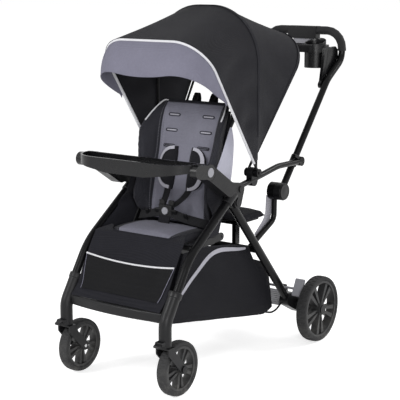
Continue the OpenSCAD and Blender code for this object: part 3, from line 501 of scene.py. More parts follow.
def press_faces(piece, chosen, *insets):
    """Inset the chosen faces, once for each thickness and depth in mm."""
    for face in piece.data.polygons:
        face.select = chosen(face)
    pick(piece)
    bpy.ops.object.mode_set(mode="EDIT")
    bpy.ops.mesh.select_mode(type="FACE")
    for thickness, depth in insets:
        bpy.ops.mesh.inset(thickness=thickness * MM, depth=depth * MM)
    done()


def tyre(node, x, y, radius, width, depth):
    """A tyre that stands on the floor, with its axle over x and y."""
    piece = add_shape(node + "_rubber", bpy.ops.mesh.primitive_circle_add, vertices=28, radius=1)
    for v in piece.data.vertices:
        across, out = (math.copysign(abs(c) ** TYRE_SQUARENESS, c) for c in v.co[:2])
        v.co = Vector((x + across * width / 2, y, 2 * radius - depth / 2 + out * depth / 2)) * MM
    centre = Vector((x, y, radius)) * MM
    edit(piece)
    bpy.ops.mesh.spin(steps=TYRE_STEPS, angle=2 * math.pi, center=centre, axis=(1, 0, 0))
    bpy.ops.mesh.select_all(action="SELECT")
    bpy.ops.mesh.remove_doubles(threshold=0.05 * MM)
    bpy.ops.mesh.normals_make_consistent(inside=False)
    bpy.ops.mesh.select_mode(type="FACE")
    bpy.ops.mesh.select_all(action="DESELECT")
    done()

    def in_pocket(face):
        spot = face.center - centre
        step = int(math.atan2(spot.z, spot.y) / (2 * math.pi) * TYRE_STEPS + TYRE_STEPS)
        outer = math.hypot(spot.y, spot.z) > (radius - TREAD_SHARE * depth) * MM
        return outer and step % 2 == (0 if spot.x > 0 else 1)
    press_faces(piece, in_pocket, (TREAD_PRESS, -TREAD_PRESS))
    return keep(piece, body_of_node[node], tyre_rubber, slot_of_node[node], node, smooth=45)


for side, sign in SIDES:
    tyre("front_tyre_" + side, sign * 185, -438, 80, 32, 16)
    tyre("rear_tyre_" + side, sign * 240, 240, 107, 36, 16)

# %% [markdown]
# ## Caps, collars and rivets
# Hinges are closed by a domed cap, tubes are joined by rivets with a round head, and moulded sleeves cover
# the places where a leg enters another part. All of them are cylinders whose flat faces are inset and
# pushed, and whose edges are rounded.

# %% Hub caps, collars and rivets
def cap(name, place, radius, depth, dish, body, finish=joint_nylon, slot="frame_plastic"):
    piece = add_shape(name, bpy.ops.mesh.primitive_cylinder_add, vertices=36, radius=radius * MM,
                      depth=depth * MM, location=Vector(place) * MM, rotation=(0, math.pi / 2, 0))
    out = math.copysign(1, place[0])
    press_faces(piece, lambda face: face.normal.x * out > 0.9, (0.3 * radius, -dish),
                (0.18 * radius, 0.6 * dish))
    round_edges(piece, min(0.35 * depth, 1.6), 35)
    return keep(piece, body, finish, slot)


def collar(name, x, start, way, length, radius):
    """A moulded sleeve round a leg, from start along a direction of the side view."""
    middle = Vector((x, start[0] + way[0] * length / 2, start[1] + way[1] * length / 2))
    upright = Vector((0, -way[0], -way[1])).to_track_quat("Z", "X")
    piece = add_shape(name, bpy.ops.mesh.primitive_cylinder_add, upright, vertices=40, radius=radius * MM,
                      depth=length * MM, location=middle * MM)
    press_faces(piece, lambda face: len(face.vertices) > 4, (0.16 * radius, 0.05 * radius))
    round_edges(piece, 1.4, 20)
    return keep(piece, "front_frame", joint_nylon, "frame_plastic")


LEG_RIVETS = ((-306, 448), (-263, 479))
for side, sign in SIDES:
    cap(f"fold_hub_cap_{side}", (sign * 163.5, 152, 497), 26, 5, 1.2, "handle")
    cap(f"leg_hub_cap_{side}", (sign * 196.5, -153, 515), 13, 4, 0.8, "front_frame")
    cap(f"arm_hub_cap_{side}", (sign * 196.5, -140, 552), 10, 4, 0.8, "front_frame")
    collar(f"leg_collar_{side}", sign * 189.5, (-171.7, 543.3), (-0.816, -0.577), 44, 15.4)
    collar(f"boot_collar_{side}", sign * 185, (-445, 301), (-0.534, -0.845), 16, 20.6)
    cap(f"front_hub_cap_{side}", (sign * 211, -438, 80), 11, 5, 0.8, "caster_" + side)
    cap(f"rear_hub_cap_{side}", (sign * 260.5, 240, 107), 15, 5, 1.0, "rear_wheel_" + side)
    for i, (y, z) in enumerate(LEG_RIVETS):
        cap(f"leg_rivet_{side}_{i + 1}", (sign * 202.4, y, z), 3.6, 2.4, 0.3, "front_frame", wheel_nylon,
            "rim_plastic")

# %% [markdown]
# ## Console
# Each cup holder of the parent console has a moulded lip, low in front and high behind, that keeps a
# bottle upright. A cylinder without its ends becomes the lip: its upper edge is raised point by point, and
# Solidify gives it a wall. The console's ends reach back to the handle tubes as flat cheeks, each an
# outline in the side view that is extruded to its thickness and rounded.

# %% Raised lips of the cup holders
CUP_X, CUP_Y, CUP_Z, CUP_RADIUS = 86.0, 455.0, 944.0, 34.2
LIP_DEPTH, LIP_SUNK, LIP_RISE, LIP_WALL = 8, 2, 19, 4.0


def cup_lip(name, x):
    piece = add_shape(name, bpy.ops.mesh.primitive_cylinder_add, vertices=64, radius=CUP_RADIUS * MM,
                      depth=LIP_DEPTH * MM, end_fill_type="NOTHING",
                      location=Vector((x, CUP_Y, CUP_Z - LIP_SUNK)) * MM)
    for v in piece.data.vertices:
        if v.co.z > CUP_Z * MM:
            behind = (v.co.y / MM - CUP_Y) / CUP_RADIUS
            v.co.z += LIP_RISE * MM * max(0.0, 0.5 + 0.5 * behind) ** 1.3
    edit(piece)
    bpy.ops.mesh.subdivide(number_cuts=2)
    done()
    apply_modifier(piece, "SOLIDIFY", thickness=LIP_WALL * MM, offset=0)
    round_edges(piece, 1.2, 50, segments=2)
    return keep(piece, "handle", tray_nylon, "console_plastic", smooth=50)


lips = [cup_lip(f"cup_lip_{side}", sign * CUP_X) for side, sign in SIDES]
print("cup lips up to", round(max(v.co.z for v in lips[0].data.vertices), 3), "m")

# %% Cheeks of the console
CHEEK_OUTLINE = ((428, 838), (438, 884), (447, 926), (456, 938), (500, 938), (514, 928), (518, 902),
                 (500, 882), (456, 852))
CHEEK_X, CHEEK_THICK = 132.5, 7.0


def cheek(name, sign):
    piece = add_shape(name, bpy.ops.mesh.primitive_circle_add, vertices=len(CHEEK_OUTLINE), radius=1,
                      fill_type="NGON")
    for v, (y, z) in zip(piece.data.vertices, CHEEK_OUTLINE):
        v.co = Vector((sign * CHEEK_X, y, z)) * MM
    edit(piece)
    bpy.ops.mesh.extrude_region_move(TRANSFORM_OT_translate={"value": (sign * CHEEK_THICK * MM, 0, 0)})
    bpy.ops.mesh.select_all(action="SELECT")
    bpy.ops.mesh.normals_make_consistent(inside=False)
    done()
    round_edges(piece, 2.4, 60)
    return keep(piece, "handle", tray_nylon, "console_plastic")


cheeks = [cheek(f"console_cheek_{side}", sign) for side, sign in SIDES]
print("console cheeks:", [len(p.data.polygons) for p in cheeks])

# %% [markdown]
# ## Padded seat
# Seat, seat back and jump seat are cloth over foam. The CAD pads are copied, remeshed into small even
# squares and blown up a little by the cloth solver, with the sewn lines held fast. The cloth swells
# between its seams and pulls in at the edges, as stuffing does.

# %% Makers of stuffed pads
PAD_SQUARE, PAD_SHRINK, PAD_SWELL = 5, 2.5, 6
PRESSURE, SWELLING_FRAMES = 4, 20


def points_of(piece):
    co = np.zeros(len(piece.data.vertices) * 3, np.float32)
    piece.data.vertices.foreach_get("co", co)
    return co.reshape(-1, 3).astype(float)


def move_points(piece, points):
    piece.data.vertices.foreach_set("co", np.asarray(points, np.float32).ravel())
    piece.data.update()


def store(piece, name, values):
    layer = piece.data.attributes.get(name) or piece.data.attributes.new(name, "FLOAT", "POINT")
    layer.data.foreach_set("value", np.asarray(values, np.float32))


def step_between(value, low, high):
    t = np.clip((value - low) / (high - low), 0, 1)
    return t * t * (3 - 2 * t)


def stuffed(node, name, sewn_down):
    """A pad blown up from a CAD solid. sewn_down(points) is true where a seam holds the cloth."""
    piece = copy_of(node, name)
    piece.data.remesh_voxel_size = PAD_SQUARE * MM
    pick(piece)
    bpy.ops.object.voxel_remesh()
    apply_modifier(piece, "SMOOTH", factor=0.5, iterations=4)
    edit(piece)
    bpy.ops.transform.shrink_fatten(value=-PAD_SHRINK * MM)
    done()
    start = points_of(piece)
    held = piece.vertex_groups.new(name="sewn")
    held.add([int(i) for i in np.nonzero(sewn_down(start / MM))[0]], 1.0, "REPLACE")
    stuffing = piece.modifiers.new("stuffing", "CLOTH")
    rules = stuffing.settings
    rules.quality = 5
    rules.use_pressure = True
    rules.uniform_pressure_force = PRESSURE
    rules.vertex_group_mass = held.name
    rules.effector_weights.gravity = 0
    for moment in range(1, SWELLING_FRAMES + 1):
        bpy.context.scene.frame_set(moment)
    pick(piece)
    bpy.ops.object.modifier_apply(modifier=stuffing.name)
    bpy.context.scene.frame_set(1)
    step = points_of(piece) - start
    far = np.linalg.norm(step, axis=1, keepdims=True)
    move_points(piece, start + step * np.minimum(1, PAD_SWELL * MM / np.maximum(far, 1e-9)))
    piece.vertex_groups.clear()
    apply_modifier(piece, "SUBSURF", levels=1, render_levels=1)
    return piece


# %% Pads by cloth simulation
BACK_FOOT, BACK_TILT = (-206.0, 440.3), math.radians(14.7)
TILT_COS, TILT_SIN = math.cos(BACK_TILT), math.sin(BACK_TILT)
WING_LEAN, SEAM_HOLD = 26.0, 4
SEAT_PANEL_FRONT, SEAT_PANEL_FLARE, SEAT_PANEL_FOOT = 82, 18, 412
BACK_PANEL_HALF, BACK_PANEL_FLARE, BACK_PANEL_TOP, BACK_PANEL_DEPTH = 99, 6, 364, 14
JUMP_SEAM_X = 78


def on_back(x, depth, height):
    """World place of a point given across, behind and up along the seat back."""
    y = BACK_FOOT[0] + depth * TILT_COS + height * TILT_SIN
    z = BACK_FOOT[1] - depth * TILT_SIN + height * TILT_COS
    return np.stack(np.broadcast_arrays(x, y, z), -1)


def from_back(points):
    """The same, the other way: across, behind and up for world points in mm."""
    y, z = points[:, 1] - BACK_FOOT[0], points[:, 2] - BACK_FOOT[1]
    return points[:, 0], y * TILT_COS - z * TILT_SIN, y * TILT_SIN + z * TILT_COS


def seat_panel(p):
    """How far inside the seat's grey panel a point is."""
    half = SEAT_PANEL_FRONT + SEAT_PANEL_FLARE * step_between(p[:, 1], -376, -345)
    return np.minimum(half - np.abs(p[:, 0]), p[:, 2] - SEAT_PANEL_FOOT)


def seat_sewn(p):
    return (np.abs(seat_panel(p)) < SEAM_HOLD) & (p[:, 2] > 428) | (p[:, 2] < 408)


def back_panel(p):
    """How far inside the grey panel of the seat back a point is."""
    x, depth, height = from_back(p)
    half = BACK_PANEL_HALF + BACK_PANEL_FLARE * step_between(height, 200, 360)
    inside = np.minimum(half - np.abs(x), BACK_PANEL_TOP - height)
    return np.minimum(inside, (BACK_PANEL_DEPTH - depth) * 2)


def back_sewn(p):
    depth = from_back(p)[1]
    return (np.abs(back_panel(p)) < SEAM_HOLD) & (depth < 20) | (depth > 24)


def jump_sewn(p):
    return (np.abs(np.abs(p[:, 0]) - JUMP_SEAM_X) < SEAM_HOLD) | (p[:, 2] < 411)


seat_pad = stuffed("seat_cushion", "seat_pad", seat_sewn)
store(seat_pad, "seam", seat_panel(points_of(seat_pad) / MM) * MM)
keep(seat_pad, "front_frame", seat_cloth_painted_light, "grey_fabric", "seat_cushion", smooth=60)
back_pad = stuffed("back_cushion", "seat_back_pad", back_sewn)
x, depth, height = from_back(points_of(back_pad) / MM)
forward = np.clip((-depth - 4) / 78, 0, 1.1) ** 1.3
lean = forward * step_between(height, 140, 235) * step_between(np.abs(x), 90, 104)
move_points(back_pad, on_back(x + np.sign(x) * WING_LEAN * lean, depth, height) * MM)
store(back_pad, "seam", back_panel(points_of(back_pad) / MM) * MM)
keep(back_pad, "seat_back", seat_cloth_painted_light, "grey_fabric", "back_cushion", smooth=60)
jump_pad = stuffed("bench", "jump_seat_pad", jump_sewn)
keep(jump_pad, "rear_frame", black_cloth, "black_fabric", "bench", smooth=60)
print("pads:", {p.name: len(p.data.polygons) for p in (seat_pad, back_pad, jump_pad)})

# %% [markdown]
# ## Sheets, piping and straps
# A sheet starts as a flat grid and every point of it is then put where the cloth lies; Solidify gives it a
# real thickness. Piping is a thin cord along a smooth line, made as a bevelled curve. A strap is a narrow
# sheet that follows a line.

# %% Makers of sheets, piping and straps
def bare_grid(name, grid, place):
    """Squares with their points at place(u, v) in mm, for u from -1 to 1 across and v from 0 to 1 along."""
    piece = add_shape(name, bpy.ops.mesh.primitive_grid_add, x_subdivisions=grid[0], y_subdivisions=grid[1],
                      size=2)
    flat = points_of(piece)
    move_points(piece, place(flat[:, 0], (flat[:, 1] + 1) / 2) * MM)
    return piece


def sheet_of(name, grid, place, thick):
    piece = bare_grid(name, grid, place)
    apply_modifier(piece, "SOLIDIFY", thickness=thick * MM, offset=0)
    edit(piece)
    bpy.ops.mesh.normals_make_consistent(inside=False)
    done()
    return piece


def cut_area(piece):
    return sum(f.area for f in piece.data.polygons) / 2


def sewn(name, grid, place, thick, body, finish, slot, *stands_for, flat, rests_on, held="stretched",
         measured=False, area=None, with_pieces=(), blend=None, smooth=60):
    """A finished sheet on a body, or blended between two; the flat size of its cloth is not used."""
    piece = keep(sheet_of(name, grid, place, thick), body, finish, slot, *stands_for, smooth=smooth)
    if blend:
        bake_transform(piece, *blend)
    return piece


def smooth_line(points, count):
    """Points spread along a smooth curve through the given ones."""
    p = np.asarray(points, float)
    p = np.vstack([2 * p[0] - p[1], p, 2 * p[-1] - p[-2]])
    t = np.linspace(0, len(p) - 3, count)
    i = np.minimum(t.astype(int), len(p) - 4)
    f = (t - i)[:, None]
    a, b, c, d = p[i], p[i + 1], p[i + 2], p[i + 3]
    bend, twist = 2 * a - 5 * b + 4 * c - d, 3 * b - a - 3 * c + d
    return b + 0.5 * ((c - a) * f + bend * f ** 2 + twist * f ** 3)


def along_line(line, v):
    """Places at shares v of a line's points."""
    at = np.clip(v, 0, 1) * (len(line) - 1)
    i = np.minimum(at.astype(int), len(line) - 2)
    f = (at - i)[:, None]
    return line[i] * (1 - f) + line[i + 1] * f


def cord_of(name, points, thick, count=0):
    line = smooth_line(points, count) if count else np.asarray(points, float)
    curve = bpy.data.curves.new(name, "CURVE")
    curve.dimensions = "3D"
    run = curve.splines.new("POLY")
    run.points.add(len(line) - 1)
    for point, place in zip(run.points, line):
        point.co = (*(place * MM), 1)
    curve.bevel_depth = thick / 2 * MM
    curve.bevel_resolution = 3
    curve.use_fill_caps = True
    piece = bpy.data.objects.new(name, curve)
    bpy.context.scene.collection.objects.link(piece)
    pick(piece)
    bpy.ops.object.convert(target="MESH")
    return bpy.context.object


STRAP_GRID, STRAP_THICK = (4, 48), 1.8


def strap_path(points, flat_way, width, count=24):
    """Places of a strap along a line, with its width in the direction flat_way."""
    line = smooth_line(points, count)
    half = np.asarray(flat_way, float) / np.linalg.norm(flat_way) * width / 2
    return lambda u, v: along_line(line, v) + u[:, None] * half


def square_to(ahead):
    """Unit directions at right angles to directions in a flat view."""
    return np.stack([-ahead[:, 1], ahead[:, 0]], -1) / np.linalg.norm(ahead, axis=1, keepdims=True)


def band_point(line, u, v, half):
    """Place in the side view on a band along a line, u from -1 to 1 across it."""
    way = square_to(along_line(line, v + 0.01) - along_line(line, v - 0.01))
    return along_line(line, v) + way * (u * half)[:, None]


print("makers ready")

# %% [markdown]
# ## Canopy
# The canopy is one cloth over three bows that fan out from a pivot on each side arm. Between bows it sags
# a little, and its sides gather in soft folds towards the pivot. Each half of the fan is a grid of bow
# angle by distance along the bow, so it can follow its two bows when the canopy swings: every point turns
# by its own share of the angle.

# %% Canopy cloth
PIVOT_Y, PIVOT_Z, BOW_REACH, CLOTH_FOOT = -48.0, 588.0, 490.0, 40.0
CLOTH_OUT, BOW_LENGTH, CANOPY_GRID, CANOPY_THICK = 5.6, 1.22, (150, 30), 1.2
# The side folds start, are full, fade and end at these distances from the pivot.
FOLDS_START, FOLDS_FULL, FOLDS_FADE, FOLDS_END = 90, 170, 330, 470
FINE_WAVE, BROAD_WAVE, SIDE_HOLLOW, TOP_SAG = 15.0, 27.0, 5.0, 0.007
# A bow is its half width at the foot, half width at the top, corner radius and angle.
FRONT_BOW = np.array((195.1, 195.1, 105.0, 55.0))
MIDDLE_BOW = np.array((186.8, 186.8, 165.0, 90.0))
REAR_BOW = np.array((155.5, 186.8, 120.0, 125.0))


def bow_line(t, foot, top, corner, out, share):
    """Half width and reach of a bow's outline at t from 0, the left foot, to 1."""
    straight = BOW_REACH * share - corner - CLOTH_FOOT
    arc = corner * math.pi / 2
    run = np.minimum(t, 1 - t) * (2 * straight + 2 * arc + 2 * (top - corner))
    start = foot + (top - foot) * CLOTH_FOOT / BOW_REACH
    bend = np.clip((run - straight) / corner, 0, math.pi / 2)
    side = start + (top - start) * np.clip(run / straight, 0, 1) + out
    flat = np.maximum(run - straight - arc, 0)
    x = np.where(run < straight, side, top - corner + (corner + out) * np.cos(bend) - flat)
    round_top = BOW_REACH * share - corner + (corner + out) * np.sin(bend)
    return np.where(t <= 0.5, x, -x), np.where(run < straight, CLOTH_FOOT + run, round_top)


def fan_point(x, reach, angle):
    a = np.radians(angle)
    return np.stack([x, PIVOT_Y - reach * np.cos(a), PIVOT_Z + reach * np.sin(a)], -1)


def canopy_half(part, first, last, folds, bodies, start, end):
    """Cloth between two bows, with folds(v) the depth of the folds at its sides."""
    span = last[3] - first[3]

    def place(u, v):
        bow = first + (last - first) * v[:, None]
        chord = math.cos(math.radians(span / 2)) / np.cos(np.radians(span * (v - 0.5)))
        between_bows = np.sin(np.pi * v)
        x, reach = bow_line((1 - u) / 2, *bow.T[:3], CLOTH_OUT, chord - TOP_SAG * between_bows)
        low = step_between(reach, FOLDS_START, FOLDS_FULL) * (1 - step_between(reach, FOLDS_FADE, FOLDS_END))
        fine = np.sin(reach / FINE_WAVE + 1.8 * v + np.where(u > 0, 0.0, 1.3))
        broad = 0.6 * np.sin(reach / BROAD_WAVE - 2.6 * v)
        puff = folds(v) * low * (fine + broad) - SIDE_HOLLOW * between_bows * low
        return fan_point(x + np.sign(x) * puff, reach, bow[:, 3])

    piece = sewn(f"canopy_{part}_cloth_sewn", CANOPY_GRID, place, CANOPY_THICK, None, canopy_cloth,
                 "black_fabric", f"canopy_{part}_cloth", flat=(BOW_LENGTH, 0.30), area=0.272,
                 blend=(*bodies, start, end), rests_on=[castings[f"canopy_{part}_bow"]], smooth=70)
    p = points_of(piece) / MM
    angle = np.degrees(np.arctan2(p[:, 2] - PIVOT_Z, PIVOT_Y - p[:, 1]))
    store(piece, "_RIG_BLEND", 1 - np.clip((angle - first[3]) / span, 0, 1))
    print(piece.name, "area", round(cut_area(piece), 4), "m2")


canopy_half("front", FRONT_BOW, MIDDLE_BOW, lambda v: 5.2 * np.sin(np.pi * v) ** 0.7 * (1.2 - v),
            ("canopy_middle", "canopy_front"), (0, -0.048, 0.9), (0, -0.32, 0.9))
canopy_half("rear", MIDDLE_BOW, REAR_BOW, lambda v: 1.4 * np.sin(np.pi * v),
            ("side_arms", "canopy_middle"), (0, 0.23, 0.9), (0, -0.048, 0.9))

# %% [markdown]
# ## Canopy trim
# White piping runs along the front bow, tape is sewn over the seam on the middle bow, and binding closes
# the rear edge. Each turns with its own bow.

# %% Canopy piping, tape and binding
def bow_trim(name, bow, out, width, thick, body, start=0.0):
    """Tape along a bow, from a share start of the bow to the same share before its other end."""
    length = 1 - 2 * start

    def place(u, v):
        x, reach = bow_line(start + length * v, *bow[:3], out, 1.0)
        half = np.minimum(width / 2, 0.018 * reach)
        return fan_point(x, reach, bow[3] + np.degrees(half * u / np.maximum(reach, 60)))
    return sewn(name, (3, 160), place, thick, body, black_cloth, "black_fabric",
                flat=(width * MM, BOW_LENGTH * length), rests_on=["canopy_front_cloth_sewn"])


def front_bow_point(t):
    x, reach = bow_line(t, *FRONT_BOW[:3], 0.0, 1.0)
    return fan_point(x, reach, np.full_like(x, FRONT_BOW[3]))


piping = cord_of("canopy_front_piping", front_bow_point(np.linspace(0, 1, 200)), 9.4)
keep(piping, "canopy_front", piping_cloth, "light_webbing")
tape = bow_trim("canopy_seam_tape", MIDDLE_BOW, 6.9, 13, 1.0, "canopy_middle", 0.06)
binding = bow_trim("canopy_rear_binding", REAR_BOW, 6.7, 14, 1.6, "side_arms")
print("canopy trim:", [p.name for p in (piping, tape, binding)])

# %% [markdown]
# ## Visor
# The visor is a grey peak sewn to the front bow. It runs forwards and then turns down, deepest in the
# middle, and fades into the bow at both sides. A stiffened hem holds its curve.

# %% Visor
VISOR_DROP, VISOR_FROM, VISOR_SPAN = 96.0, 0.2, 0.6


def visor_point(t, v):
    """t is the share of the front bow, and v runs from the bow to the hem."""
    middle = np.sin(np.pi * np.clip((t - VISOR_FROM) / VISOR_SPAN, 0, 1))
    drop = VISOR_DROP * np.maximum(0.06, middle) ** 0.9
    a = math.radians(FRONT_BOW[3])
    top = front_bow_point(t) + CLOTH_OUT * np.array((0, -math.sin(a), -math.cos(a)))
    ahead = 0.74 * v * (1 - v) + 0.38 * v ** 2
    down = 0.68 * v * (1 - v) + v ** 2
    return top - np.stack([0 * drop, ahead * drop, down * drop], -1)


hem_line = visor_point(np.linspace(VISOR_FROM, VISOR_FROM + VISOR_SPAN, 120), np.ones(120))
hem = keep(cord_of("visor_hem", hem_line, 3.4), "canopy_front", visor_cloth, "grey_fabric")
visor = sewn("visor_peak", (110, 16), lambda u, v: visor_point(0.5 + VISOR_SPAN / 2 * u, v), 1.8,
             "canopy_front", visor_cloth, "grey_fabric", "visor", flat=(0.74, 0.12), measured=True,
             rests_on=[castings["canopy_front_bow"]], with_pieces=[hem])
print("visor area", round(cut_area(visor), 4))

# %% [markdown]
# ## Calf panel and front pocket
# From the seat's front edge a cloth runs down between the legs to the cross bar. Its lower half carries a
# net pocket, whose top is edged with white piping and whose sides are bound in grey tape.

# %% Calf panel, pocket and piping
CALF_HALF, CALF_TAPER, TUCK_END, CALF_BELLY, CALF_RIPPLE = 165.0, 26, 0.16, 8, 1.6
CORNER_BACK, CORNER_UP, LIFT_AHEAD, LIFT_UP = 34, 7, 0.87, 0.5
calf_line = smooth_line([(-373, 433), (-379, 427), (-386, 416), (-398, 398), (-422, 358), (-446, 314),
                         (-464, 280), (-494, 251)], 120)
calf_share = np.linspace(0, 1, len(calf_line))
POCKET_TOP, POCKET_FOOT, POCKET_DIP, POCKET_BELLY, POCKET_HALF, POCKET_TAPER = 362, 270, 11, 8, 163, 20


def calf_point(x, v, lift=0.0):
    """On the panel at x across and share v down its line, lifted off it by some millimetres."""
    q = along_line(calf_line, v)
    u = x / CALF_HALF
    run = np.clip((v - TUCK_END) / (1 - TUCK_END), 0, 1)
    swell = np.sin(np.pi * run)
    ripple = CALF_RIPPLE * np.sin(7 * np.pi * run + 1.2 * u) * (1 - u ** 4)
    belly = (CALF_BELLY * (1 - u * u) + ripple) * swell
    corner = step_between(np.abs(u), 0.62, 0.8) * (1 - step_between(v, 0.0, TUCK_END))
    y = q[:, 0] + belly + CORNER_BACK * corner - LIFT_AHEAD * lift
    return np.stack([x, y, q[:, 1] + CORNER_UP * corner + LIFT_UP * lift], -1)


def panel_point(u, v):
    return calf_point(u * (CALF_HALF - CALF_TAPER * (1 - step_between(v, 0.0, TUCK_END))), v)


def pocket_point(u, v, lift):
    top = POCKET_TOP - POCKET_DIP * (1 - u * u)
    z = top + (POCKET_FOOT - top) * v
    share = np.interp(-z, -calf_line[:, 1], calf_share)
    belly = POCKET_BELLY * np.sin(np.pi * np.clip(v, 0, 1)) * (1 - u * u)
    return calf_point(u * (POCKET_HALF - POCKET_TAPER * v), share, lift + belly)


calf = sewn("calf_panel_cloth", (44, 70), panel_point, 1.8, "front_frame", black_cloth, "black_fabric",
            "calf_panel", flat=(0.33, 0.30), rests_on=[castings["front_crossbar"]], measured=True)
edge = pocket_point(np.linspace(-1, 1, 60), np.zeros(60), 5.0)
pocket_piping = cord_of("front_pocket_piping", edge, 5.2)
pocket_trim = [keep(pocket_piping, "front_frame", piping_cloth, "light_webbing")]
for side, sign in SIDES:
    edge = pocket_point(np.full(24, float(sign)), np.linspace(0, 1, 24), 3.6)
    pocket_tape = cord_of(f"front_pocket_tape_{side}", edge, 2.0)
    pocket_trim.append(keep(pocket_tape, "front_frame", visor_cloth, "grey_fabric"))
pocket = sewn("front_pocket_net", (48, 24), lambda u, v: pocket_point(u, v, 3.5), 1.2, "front_frame", netting,
              "black_fabric", flat=(0.33, 0.11), rests_on=[calf], measured=True, with_pieces=pocket_trim)
print("calf panel", round(cut_area(calf), 4), "m2, pocket", round(cut_area(pocket), 4), "m2")

# %% [markdown]
# ## Seat sides with their gussets
# Cloth closes the gap between the seat and the frame on each side, and a pale mesh gusset carries on up
# behind the wings of the seat back. When the back is reclined the gusset opens, so its top follows the
# seat back and its foot stays with the frame. A narrow cloth lies between the pad and the foot of each
# side, and another behind the crease.

# %% Seat sides
side_front = smooth_line([(-356, 414), (-306, 450), (-263, 481), (-250, 530), (-238, 570), (-196, 611),
                          (-124, 731)], 70)
side_rear = smooth_line([(-188, 420), (-172, 465), (-160, 510), (-155, 553), (-123, 567), (-107, 674),
                         (-117, 729)], 70)
crease_line = smooth_line([(-236, 415), (-204, 413), (-190, 428), (-184, 452), (-176, 484)], 30)
SIDE_X, SIDE_FLARE, SIDE_INSET, PAD_SIDE, CREASE_HALF = 148.6, 28, 3.4, 126, 147.0


def side_out(u, v):
    """Distance from the middle and place in the side view, u from the front edge to the rear one."""
    near, far = along_line(side_front, v), along_line(side_rear, v)
    q = near + (far - near) * ((u + 1) / 2)[:, None]
    ripple = np.sin(q[:, 0] / 17 + q[:, 1] / 29) * (1 - u * u)
    flare = SIDE_FLARE * ((1 - u) / 2) ** 1.4 * (1 - step_between(v, 0.36, 0.52))
    return np.column_stack([SIDE_X + ripple + flare - SIDE_INSET * step_between(v, 0.5, 0.62), q])


def ledge_out(u, v):
    """From under the seat pad's side out to the foot of the side cloth."""
    outer = np.interp(v, (0.0, 0.1, 1.0), (174.0, 175.0, 148.0))
    x = PAD_SIDE + (outer - PAD_SIDE) * (u + 1) / 2
    return np.stack([x, -374 + 186 * v, 424 - 9 * step_between(v, 0.0, 0.12) + 4 * v], -1)


def crease_point(u, v):
    """Behind the crease of seat and back, v from 0 under the seat to 1 behind the back pad."""
    return np.column_stack([u * CREASE_HALF, along_line(crease_line, v)])


def gusset_distance(p):
    """How far above the slanting seam between side cloth and gusset a point is."""
    return (p[:, 2] - (609 - (p[:, 1] + 191) * 0.556)) * 0.87


for side, sign in SIDES:
    mirror = np.array((sign, 1, 1))
    cloth = sewn(f"seat_side_cloth_{side}", (26, 60), lambda u, v: side_out(u, v) * mirror, 1.4, None,
                 side_cloth, "black_fabric", flat=(0.30, 0.22), measured=True,
                 rests_on=[castings["seat_board"]],
                 blend=("front_frame", "seat_back", (0, -0.205, 0.56), (0, -0.125, 0.72)))
    store(cloth, "seam", gusset_distance(points_of(cloth) / MM) * MM)
    ledge = sewn(f"seat_edge_cloth_{side}", (8, 24), lambda u, v: ledge_out(u, v) * mirror, 1.4,
                 "front_frame", black_cloth, "black_fabric", flat=(0.05, 0.188), measured=True,
                 rests_on=[castings["seat_board"]])
    print(cloth.name, round(cut_area(cloth), 4), "m2,", ledge.name, round(cut_area(ledge), 4), "m2")
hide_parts("seat_sides")
sewn("seat_crease_cloth", (30, 16), crease_point, 1.4, None, black_cloth, "black_fabric", flat=(0.296, 0.125),
     rests_on=[seat_pad], measured=True,
     blend=("front_frame", "seat_back", (0, -0.200, 0.425), (0, -0.180, 0.475)))

# %% [markdown]
# ## Trim of the seat back
# White piping runs round the top of each wing, dark binding closes the top edge, and three pairs of
# stitched slots let the shoulder straps through. The piping is laid along the pad's own outermost points,
# so it sits on the swollen cloth.

# %% Wing piping and top binding
across, behind, up = from_back(points_of(back_pad) / MM)
WING_TURNS = np.radians(np.arange(28, 88, 3.0))
PIPING_LIFT = 0.8


def wing_edge(sign):
    """Outermost points of a wing from its front edge round to its top."""
    wing = (sign * across > 92) & (up > 230)
    found = []
    for turn in WING_TURNS:
        reach = np.where(wing, up * math.sin(turn) - behind * math.cos(turn), -1e9)
        best = np.argsort(reach)[-16:]
        found.append((across[best].mean(), behind[best].mean(), up[best].mean()))
    line = [np.polyval(np.polyfit(WING_TURNS, column, 4), WING_TURNS) for column in np.array(found).T]
    return on_back(line[0], line[1] - PIPING_LIFT * np.cos(WING_TURNS),
                   line[2] + PIPING_LIFT * np.sin(WING_TURNS))


def top_edge():
    line = []
    for x in np.arange(-112, 113, 8.0):
        band = np.abs(across - x) < 5
        i = np.nonzero(band)[0][np.argmax(up[band])]
        line.append((x, behind[i], up[i] + 0.5))
    line = np.array(line)
    for _ in range(3):
        line[1:-1] = (line[:-2] + 2 * line[1:-1] + line[2:]) / 4
    return on_back(*line.T)


for side, sign in SIDES:
    keep(cord_of(f"wing_piping_{side}", wing_edge(sign), 4.6, 60), "seat_back", piping_cloth, "light_webbing")
keep(cord_of("seat_back_binding", top_edge(), 9.0, 60), "seat_back", black_cloth, "black_fabric")
print("wings reach", round(np.abs(across).max(), 1), "mm from the middle")

# %% Harness slots
SLOT_X, SLOT_HALF_WIDTH, SLOT_HALF_HEIGHT, SLOT_THREAD = 64, 21.0, 4.2, 2.2
# The lowest row shows black webbing where the shoulder straps come out, and its darkness is also painted shade
# under the upper ends of the shoulder pads.
SLOT_ROWS = ((325, pale_strap_cloth), (277, pale_strap_cloth), (229, strap_cloth))
WEB_HALF, WEB_WIDTH, WEB_THICK = 17, 2.8, 1.2
UP_THE_BACK = on_back(0.0, 0.0, 1.0) - on_back(0.0, 0.0, 0.0)


def bulged(wave, power):
    return np.sign(wave) * np.abs(wave) ** power


